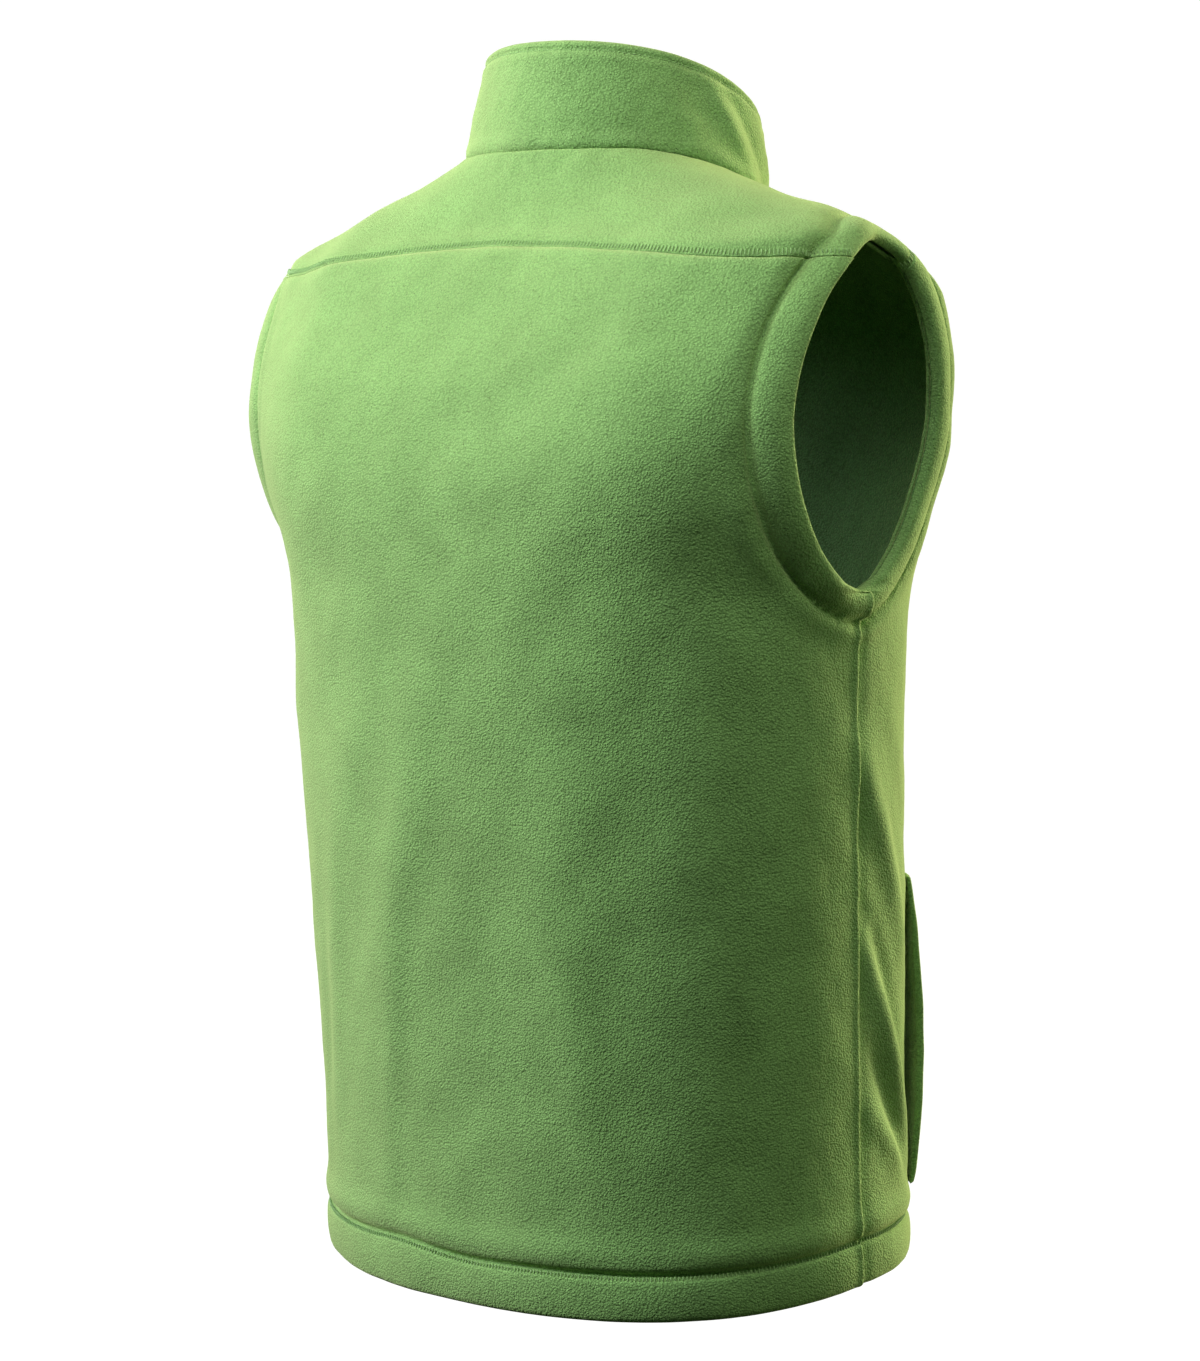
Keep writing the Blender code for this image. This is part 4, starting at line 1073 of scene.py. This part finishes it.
# The lip's section at its widest, from its free edge: share of its width, then metres ahead of the
# pocket mouth, height of its face and of its back.
WELT_SECTION = np.array((
    (0.00, -0.0035, 0.0116, 0.0068),
    (0.30, 0.0030, 0.0106, 0.0040),
    (0.66, 0.0110, 0.0062, 0.0006),
    (1.00, 0.0190, 0.0032, 0.0005),
)).T
WELT_END_FACE = 0.0034
WELT_END_BACK = 0.0006


def build_welt(word, side):
    """The lip ahead of a pocket mouth, standing off the front in its middle."""
    share = steps(0.0, 1.0, 0.0145, 0.0040)[:, None]
    across = steps(0.0, 1.0, 0.055, 0.018, 1.25)[None, :]
    ahead, face_height, back_height = (
        np.interp(1 - across, WELT_SECTION[0], row) for row in WELT_SECTION[1:])
    raised = np.sin(np.pi * share**0.87) ** 0.8
    face_height = WELT_END_FACE + (face_height - WELT_END_FACE) * raised
    back_height = WELT_END_BACK + (back_height - WELT_END_BACK) * raised
    length = POCKET_TOP - POCKET_FOOT + 2 * WELT_OVERRUN
    level = POCKET_FOOT - WELT_OVERRUN + length * share + 0 * across
    turn = POCKET_TURN - (POCKET_MOUTH / 2 + ahead) / MEAN_RADIUS + 0 * share
    turn = on_side(turn, side)
    plain, normals = folded_form(turn, level)
    lift = fold_height(turn, level, SMALL_FOLDS) + 0.0003 * ripple(plain, 0.02, 71)
    points = plain + normals * (face_height + lift)[..., None]
    joined, free, foot, top = edge_distances(points)
    points = points + normals * ridge(free, "welt_row")[..., None]
    thick = np.maximum(face_height - back_height, 0.0016)
    ends = np.minimum(foot, top)
    face, back = layers(points, normals, thick, (
        (joined, SEAM_ROUND, SEAM), (free, 0.0024, FREE), (ends, 0.0016, FREE)))
    piece = cloth_wall("pocket_lip_" + word, face, back, ("fleece", "fleece"))
    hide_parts("pocket_welt_" + word)
    row = upright_line(face, normals, free, STITCH_ROWS["welt"])
    LINES["welt_" + word] = [line[4:-4] for line in row]


BAG_START = -0.020         # behind the pocket mouth
BAG_WIDTH = 0.145
BAG_FOOT = -0.616
BAG_HEIGHT = 0.216
BAG_ROOM = 0.0105
BAG_CLOTH = 0.0016


def build_bag(word, side):
    """The pocket's inner sheet, which stands away from the front in its middle."""
    across = steps(0.0, 1.0, 0.024, 0.010)[None, :]
    up = steps(0.0, 1.0, 0.018, 0.008)[:, None]
    distance = BAG_START + BAG_WIDTH * across
    turn = POCKET_TURN - distance / MEAN_RADIUS + 0 * up
    turn = on_side(turn, side)
    level = BAG_FOOT + BAG_HEIGHT * up + 0 * across
    room = np.minimum(1, 2.2 * np.sin(np.pi * across)) * np.minimum(1, 1.8 * np.sin(np.pi * up))
    plain, normals = folded_form(turn, level)
    depth = CLOTH + LAYER_GAP + BAG_ROOM * np.maximum(room, 0)
    depth = depth + 0.0004 * room * ripple(plain, 0.05, 81)
    points = plain - normals * depth[..., None]
    sides = edge_distances(points)
    thick = np.full(level.shape, BAG_CLOTH)
    face, back = layers(points, normals, thick, [(distance, BAG_CLOTH / 2, FREE) for distance in sides])
    piece = cloth_wall("pocket_inner_" + word, face, back, ("bag", "bag"))
    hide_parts("pocket_bag_" + word)


LADDER_STITCH = (0.0044, 0.0013, 0.0015)
LADDER_SPACING = 0.0023
ROW_STITCH = (0.0023, 0.0008, 0.0007)
ROW_SPACING = 0.0030


def build_stitches():
    """Coverstitch ladders on hem and yoke, and single rows along the other stitched edges."""
    for name in ("hem_back", "hem_left", "hem_right", "yoke", "shoulder_left", "shoulder_right"):
        sew(name + "_stitches", *LINES[name], LADDER_SPACING, LADDER_STITCH, across=True)
    for name in ("collar", "zip_left", "zip_right", "welt_left", "welt_right"):
        sew(name + "_stitches", *LINES[name], ROW_SPACING, ROW_STITCH)
    angle = np.linspace(UNDERARM + 0.03, UNDERARM + 2 * math.pi - 0.03, 400)
    for word, side in SIDES:
        turn, level = armhole_place(angle, 1.0)
        turn = on_side(turn, side)
        points, normals, _, _ = surface(turn, level)
        sew("armhole_stitches_" + word, points, normals, 0.0032, ROW_STITCH)


TOOTH = (0.0033, 0.0026, 0.00105)
TOOTH_BEVEL = 0.00022
TOOTH_X = 0.00135
TOOTH_PITCH = 0.0025
TOOTH_CLEAR = 0.0008       # rows of teeth from their ends
CORD_EDGES = np.array((0.0001, 0.0031))
CORD_HALF = np.array((0.0, 0.0006, 0.0))


def zip_run():
    """Points of the zip's line on the vest's form, from the hem into the collar."""
    level = np.linspace(HEM_LEVEL, NECK_LEVEL, 300)
    line, _ = folded_form(np.full(level.shape, -RIGHT_ANGLE), level)
    collar_z = np.linspace(line[-1, 2], 0.02, 30)[1:]
    column = np.stack((0 * collar_z, 0 * collar_z + COLLAR_TOP["before"], collar_z), -1)
    return np.concatenate((line, column))


def tooth_shape():
    """One bevelled tooth."""
    tooth = bmesh.new()
    bmesh.ops.create_cube(tooth, size=1.0)
    bmesh.ops.scale(tooth, verts=tooth.verts[:], vec=TOOTH)
    bmesh.ops.bevel(tooth, geom=tooth.edges[:], offset=TOOTH_BEVEL, segments=1, profile=0.5,
                    affect="EDGES", material=-1)
    return tooth


def build_teeth():
    """Two rows of moulded teeth that lock into each other, and the tape cords they grip."""
    line = zip_run()
    for word, side in SIDES:
        low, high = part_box("zip_teeth_" + word)
        start = low[2] + TOOTH_CLEAR + (0 if side > 0 else TOOTH_PITCH / 2)
        z = np.arange(start, high[2] - TOOTH_CLEAR, TOOTH_PITCH)
        y = np.interp(z, line[:, 2], line[:, 1]) + TEETH_FACE + TOOTH[1] / 2
        centres = np.stack((np.full(len(z), side * TOOTH_X), y, z), -1)
        frames = np.repeat(np.eye(3)[None], len(z), 0)
        piece = scatter("moulded_teeth_" + word, tooth_shape(), centres, frames,
                        FINISH["teeth"])
        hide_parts("zip_teeth_" + word)
        cord_z = np.linspace(low[2], high[2], 120)[:, None]
        depth = np.interp(cord_z, line[:, 2], line[:, 1]) + TEETH_FACE + TOOTH[1] / 2
        cord = np.stack(np.broadcast_arrays(side * CORD_EDGES[None, :], depth, cord_z), -1)
        cloth_wall("tape_cord_" + word, cord - CORD_HALF, cord + CORD_HALF,
                   ("tape", "tape"))


def dress_frame_parts():
    """Finishes for the frame's own solids that stay in view."""
    for word, _ in SIDES:
        dress("zip_tape_" + word, FINISH["tape"])
        dress("zip_stop_" + word, FINISH["teeth"])
    dress("zip_retainer", FINISH["teeth"])
    dress("zip_slider", FINISH["metal"])
    dress("zip_pull", FINISH["metal"])


def dress(node, finish):
    """Give one of the frame's own solids a finish."""
    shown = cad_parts[node]
    if not shown.material_slots:
        shown.data.materials.append(finish)
    for slot in shown.material_slots:
        slot.material = finish


# ------------------------------------------------------------------ studio
VEST_MIDDLE = np.array((0.0, 0.0, -0.30))


def add_light(name, azimuth, elevation, distance, size, power, colour):
    """A soft rectangular light that points at the vest's middle from a given direction."""
    lamp = bpy.data.lights.new(name, "AREA")
    lamp.shape = "RECTANGLE"
    lamp.size, lamp.size_y = size
    lamp.energy = power
    lamp.color = colour
    made = bpy.data.objects.new(name, lamp)
    turn = math.radians(azimuth)
    rise = math.radians(elevation)
    level = math.cos(rise)
    way = np.array((level * math.cos(turn), level * math.sin(turn), math.sin(rise)))
    made.location = way * distance + VEST_MIDDLE
    made.rotation_euler = (RIGHT_ANGLE - rise, 0.0, turn + RIGHT_ANGLE)
    made.visible_camera = False
    bpy.context.scene.collection.objects.link(made)


def build_floor(looks):
    """Pale floor that sweeps up all round."""
    sweep = bmesh.new()
    angles = np.linspace(-RIGHT_ANGLE, 0, 12)
    flat, bend = 3.2, 1.6
    profile = [(0.02, looks.floor_level)]
    profile += [(flat + bend * math.cos(t), looks.floor_level + bend + bend * math.sin(t)) for t in angles]
    profile.append((flat + bend, looks.floor_level + 5.0))
    corners = [sweep.verts.new((x, 0.0, z)) for x, z in profile]
    edges = [sweep.edges.new(pair) for pair in zip(corners, corners[1:])]
    bmesh.ops.spin(sweep, geom=corners + edges, cent=(0, 0, 0), axis=(0, 0, 1), angle=2 * math.pi,
                   steps=96, use_merge=True, use_duplicate=False)
    rim = [edge for edge in sweep.edges if edge.is_boundary and edge.verts[0].co.xy.length < 0.05]
    bmesh.ops.contextual_create(sweep, geom=rim)
    bmesh.ops.recalc_face_normals(sweep, faces=sweep.faces[:])
    mesh = bpy.data.meshes.new("studio_floor")
    sweep.to_mesh(mesh)
    sweep.free()
    mesh.shade_smooth()
    finish, _, shader = fresh_material("studio_floor")
    for label, value in (
        ("Base Color", opaque(0.08 * tone for tone in looks.floor)), ("Roughness", 1.0),
        ("Specular IOR Level", 0.0), ("Emission Color", opaque(looks.floor)),
        ("Emission Strength", looks.floor_glow),
    ):
        shader.inputs[label].default_value = value
    mesh.materials.append(finish)
    floor = bpy.data.objects.new("studio_floor", mesh)
    bpy.context.scene.collection.objects.link(floor)
    floor.visible_diffuse = False
    floor.visible_glossy = False


def build_studio(looks):
    """The floor, the even light, the soft lights and the camera."""
    build_floor(looks)
    world = bpy.data.worlds.new("studio")
    world.use_nodes = True
    even = world.node_tree.nodes["Background"].inputs
    even["Color"].default_value = (0.62, 1.0, 0.45, 1.0)
    even["Strength"].default_value = looks.ambient
    bpy.context.scene.world = world
    add_light("key", 50.0, 26.0, 2.1, (0.6, 0.6), looks.key, (0.88, 1.0, 0.86))
    add_light("low", 22.0, 20.0, 2.1, (0.6, 0.6), looks.low, (1.0, 0.96, 1.0))
    add_light("top", 122.0, 54.0, 1.5, (0.8, 0.8), looks.top, (0.95, 1.0, 0.80))
    add_light("side", -106.0, 8.0, 2.6, (0.7, 1.8), looks.side, (1.0, 0.95, 0.60))
    add_light("fill", -150.0, 10.0, 2.6, (0.7, 1.6), looks.fill, (0.85, 1.0, 0.52))
    add_light("behind", -49.0, 4.0, 2.5, (3.4, 2.6), looks.rim, (1.0, 0.90, 0.66))
    bpy.context.scene.view_settings.view_transform = "Standard"
    place_camera()


CAMERA_TURN = 40.59        # degrees
CAMERA_PITCH = 3.975
CAMERA_ROLL = 0.129
CAMERA_AIM = (-0.0059, 0.0, -0.1501)
CAMERA_DISTANCE = 2.2126
FOCAL_PIXELS = 3672.9      # focal length in pixels of the photograph
PHOTO_HEIGHT = 1361
SENSOR = 36.0


def place_camera():
    """The camera at the photograph's angle, distance and field of view."""
    facing = math.radians(CAMERA_TURN)
    pitch = math.radians(CAMERA_PITCH)
    roll = math.radians(CAMERA_ROLL)
    level_way = np.array((math.sin(facing), -math.cos(facing), 0.0))
    right = np.array((-math.cos(facing), -math.sin(facing), 0.0))
    forward = level_way * math.cos(pitch) - np.array((0, 0, math.sin(pitch)))
    up = np.cross(right, forward)
    c = math.cos(roll)
    s = math.sin(roll)
    right, up = right * c + up * s, up * c - right * s
    lens = bpy.data.cameras.new("camera")
    lens.sensor_fit = "VERTICAL"
    lens.sensor_height = SENSOR
    lens.lens = FOCAL_PIXELS * SENSOR / PHOTO_HEIGHT
    lens.clip_end = 50.0
    camera = bpy.data.objects.new("camera", lens)
    place = np.array(CAMERA_AIM) - level_way * CAMERA_DISTANCE
    camera.matrix_world = Matrix((*np.stack((right, up, -forward, place), -1).tolist(), (0, 0, 0, 1)))
    bpy.context.scene.collection.objects.link(camera)
    bpy.context.scene.camera = camera


# ------------------------------------------------------------------ the add-on
class VestColours(bpy.types.PropertyGroup):
    """Colours of the vest's cloths and trims."""

    fleece: bpy.props.FloatVectorProperty(
        name="Fleece", description="Light tufts of the outer fleece", subtype="COLOR", size=3,
        min=0, max=1, default=(0.310, 0.560, 0.212))
    pit_depth: bpy.props.FloatProperty(
        name="Pit depth", description="Brightness of the pits between tufts, as a share",
        subtype="FACTOR", min=0, max=1, default=0.68)
    # Painted shade: the inside's green is darker than the outer fleece to stand in for the shade inside the
    # vest.
    inside: bpy.props.FloatVectorProperty(
        name="Inside", description="Inner side of the fleece", subtype="COLOR", size=3,
        min=0, max=1, default=(0.12, 0.32, 0.11))
    thread: bpy.props.FloatVectorProperty(
        name="Thread", description="Sewing thread", subtype="COLOR", size=3,
        min=0, max=1, default=(0.390, 0.640, 0.270))
    tape: bpy.props.FloatVectorProperty(
        name="Zip tape", description="Woven tape of the zip", subtype="COLOR", size=3,
        min=0, max=1, default=(0.16, 0.38, 0.08))
    teeth: bpy.props.FloatVectorProperty(
        name="Zip teeth", description="Moulded teeth of the zip", subtype="COLOR", size=3,
        min=0, max=1, default=(0.13, 0.34, 0.07))
    metal: bpy.props.FloatVectorProperty(
        name="Zip metal", description="Slider and pull tab", subtype="COLOR", size=3,
        min=0, max=1, default=(0.42, 0.43, 0.42))


class VestStudio(bpy.types.PropertyGroup):
    """Light and floor of the studio."""

    floor_level: bpy.props.FloatProperty(
        name="Floor", description="Height of the floor", subtype="DISTANCE", unit="LENGTH", default=-0.76)
    floor: bpy.props.FloatVectorProperty(
        name="Floor colour", description="Pale floor", subtype="COLOR", size=3, min=0, max=1,
        default=(0.975, 0.975, 0.975))
    floor_glow: bpy.props.FloatProperty(
        name="Floor glow", description="Light the floor gives of its own", min=0, default=1.03)
    ambient: bpy.props.FloatProperty(
        name="Ambient", description="Even light from all round", min=0, default=0.03)
    key: bpy.props.FloatProperty(
        name="Key light", description="Power of the light behind the vest's left side",
        subtype="POWER", unit="POWER", min=0, default=37.0)
    low: bpy.props.FloatProperty(
        name="Left light", description="Power of the light at the vest's left side",
        subtype="POWER", unit="POWER", min=0, default=17.0)
    top: bpy.props.FloatProperty(
        name="Top light", description="Power of the light overhead",
        subtype="POWER", unit="POWER", min=0, default=11.5)
    side: bpy.props.FloatProperty(
        name="Side light", description="Power of the warm light ahead of the vest's right side",
        subtype="POWER", unit="POWER", min=0, default=86.0)
    fill: bpy.props.FloatProperty(
        name="Fill light", description="Power of the light at the vest's right side",
        subtype="POWER", unit="POWER", min=0, default=9.5)
    rim: bpy.props.FloatProperty(
        name="Rim light", description="Power of the broad light on the far side from the camera",
        subtype="POWER", unit="POWER", min=0, default=42.0)


class VEST_OT_finishes(bpy.types.Operator):
    """Make the vest's materials"""

    bl_idname = "vest.finishes"
    bl_label = "Finishes"

    def execute(self, context):
        make_finishes(context.scene.vest_colours)
        return {"FINISHED"}


class VEST_OT_back(bpy.types.Operator):
    """Build the back panel with its hem and half of each armhole band"""

    bl_idname = "vest.back"
    bl_label = "Back"

    def execute(self, context):
        build_back()
        return {"FINISHED"}


class VEST_OT_yoke(bpy.types.Operator):
    """Build the back yoke with both shoulder tops"""

    bl_idname = "vest.yoke"
    bl_label = "Yoke"

    def execute(self, context):
        build_yoke()
        return {"FINISHED"}


class VEST_OT_fronts(bpy.types.Operator):
    """Build the two fronts, each open along its pocket mouth"""

    bl_idname = "vest.fronts"
    bl_label = "Fronts"

    def execute(self, context):
        for word, side in SIDES:
            build_front(word, side)
        return {"FINISHED"}


class VEST_OT_collar(bpy.types.Operator):
    """Build the stand collar"""

    bl_idname = "vest.collar"
    bl_label = "Collar"

    def execute(self, context):
        build_collar()
        return {"FINISHED"}


class VEST_OT_facings(bpy.types.Operator):
    """Build the facing strips behind the armholes"""

    bl_idname = "vest.facings"
    bl_label = "Armhole facings"

    def execute(self, context):
        for word, side in SIDES:
            build_facing(word, side, True)
            build_facing(word, side, False)
        return {"FINISHED"}


class VEST_OT_pockets(bpy.types.Operator):
    """Build the pocket lips and the pocket bags"""

    bl_idname = "vest.pockets"
    bl_label = "Pockets"

    def execute(self, context):
        for word, side in SIDES:
            build_welt(word, side)
            build_bag(word, side)
        return {"FINISHED"}


class VEST_OT_stitches(bpy.types.Operator):
    """Sew the rows of stitches on the finished cloth"""

    bl_idname = "vest.stitches"
    bl_label = "Stitches"

    def execute(self, context):
        build_stitches()
        return {"FINISHED"}


class VEST_OT_zip(bpy.types.Operator):
    """Build the zip's teeth and finish its tapes, stops, slider and pull tab"""

    bl_idname = "vest.zip"
    bl_label = "Zip"

    def execute(self, context):
        build_teeth()
        dress_frame_parts()
        return {"FINISHED"}


class VEST_OT_studio(bpy.types.Operator):
    """Set up the floor, the lights and the camera"""

    bl_idname = "vest.studio"
    bl_label = "Studio"

    def execute(self, context):
        build_studio(context.scene.vest_studio)
        return {"FINISHED"}


STEPS = ("finishes", "back", "yoke", "fronts", "collar", "facings", "pockets", "stitches", "zip", "studio")


class VEST_PT_panel(bpy.types.Panel):
    """Lists the vest's pieces and their settings"""

    bl_label = "Fleece Vest"
    bl_idname = "VEST_PT_panel"
    bl_space_type = "VIEW_3D"
    bl_region_type = "UI"
    bl_category = "Vest"

    def draw(self, context):
        for group in (context.scene.vest_colours, context.scene.vest_studio):
            for name in group.__annotations__:
                self.layout.prop(group, name)
        for step in STEPS:
            self.layout.operator("vest." + step)


CLASSES = (VestColours, VestStudio, VEST_OT_finishes, VEST_OT_back, VEST_OT_yoke, VEST_OT_fronts,
           VEST_OT_collar, VEST_OT_facings, VEST_OT_pockets, VEST_OT_stitches, VEST_OT_zip,
           VEST_OT_studio, VEST_PT_panel)


def register():
    for one in CLASSES:
        bpy.utils.register_class(one)
    bpy.types.Scene.vest_colours = bpy.props.PointerProperty(type=VestColours)
    bpy.types.Scene.vest_studio = bpy.props.PointerProperty(type=VestStudio)


def unregister():
    del bpy.types.Scene.vest_studio
    del bpy.types.Scene.vest_colours
    for one in reversed(CLASSES):
        bpy.utils.unregister_class(one)


def main():
    register()
    for step in STEPS:
        getattr(bpy.ops.vest, step)()


if __name__ == "__main__":
    main()
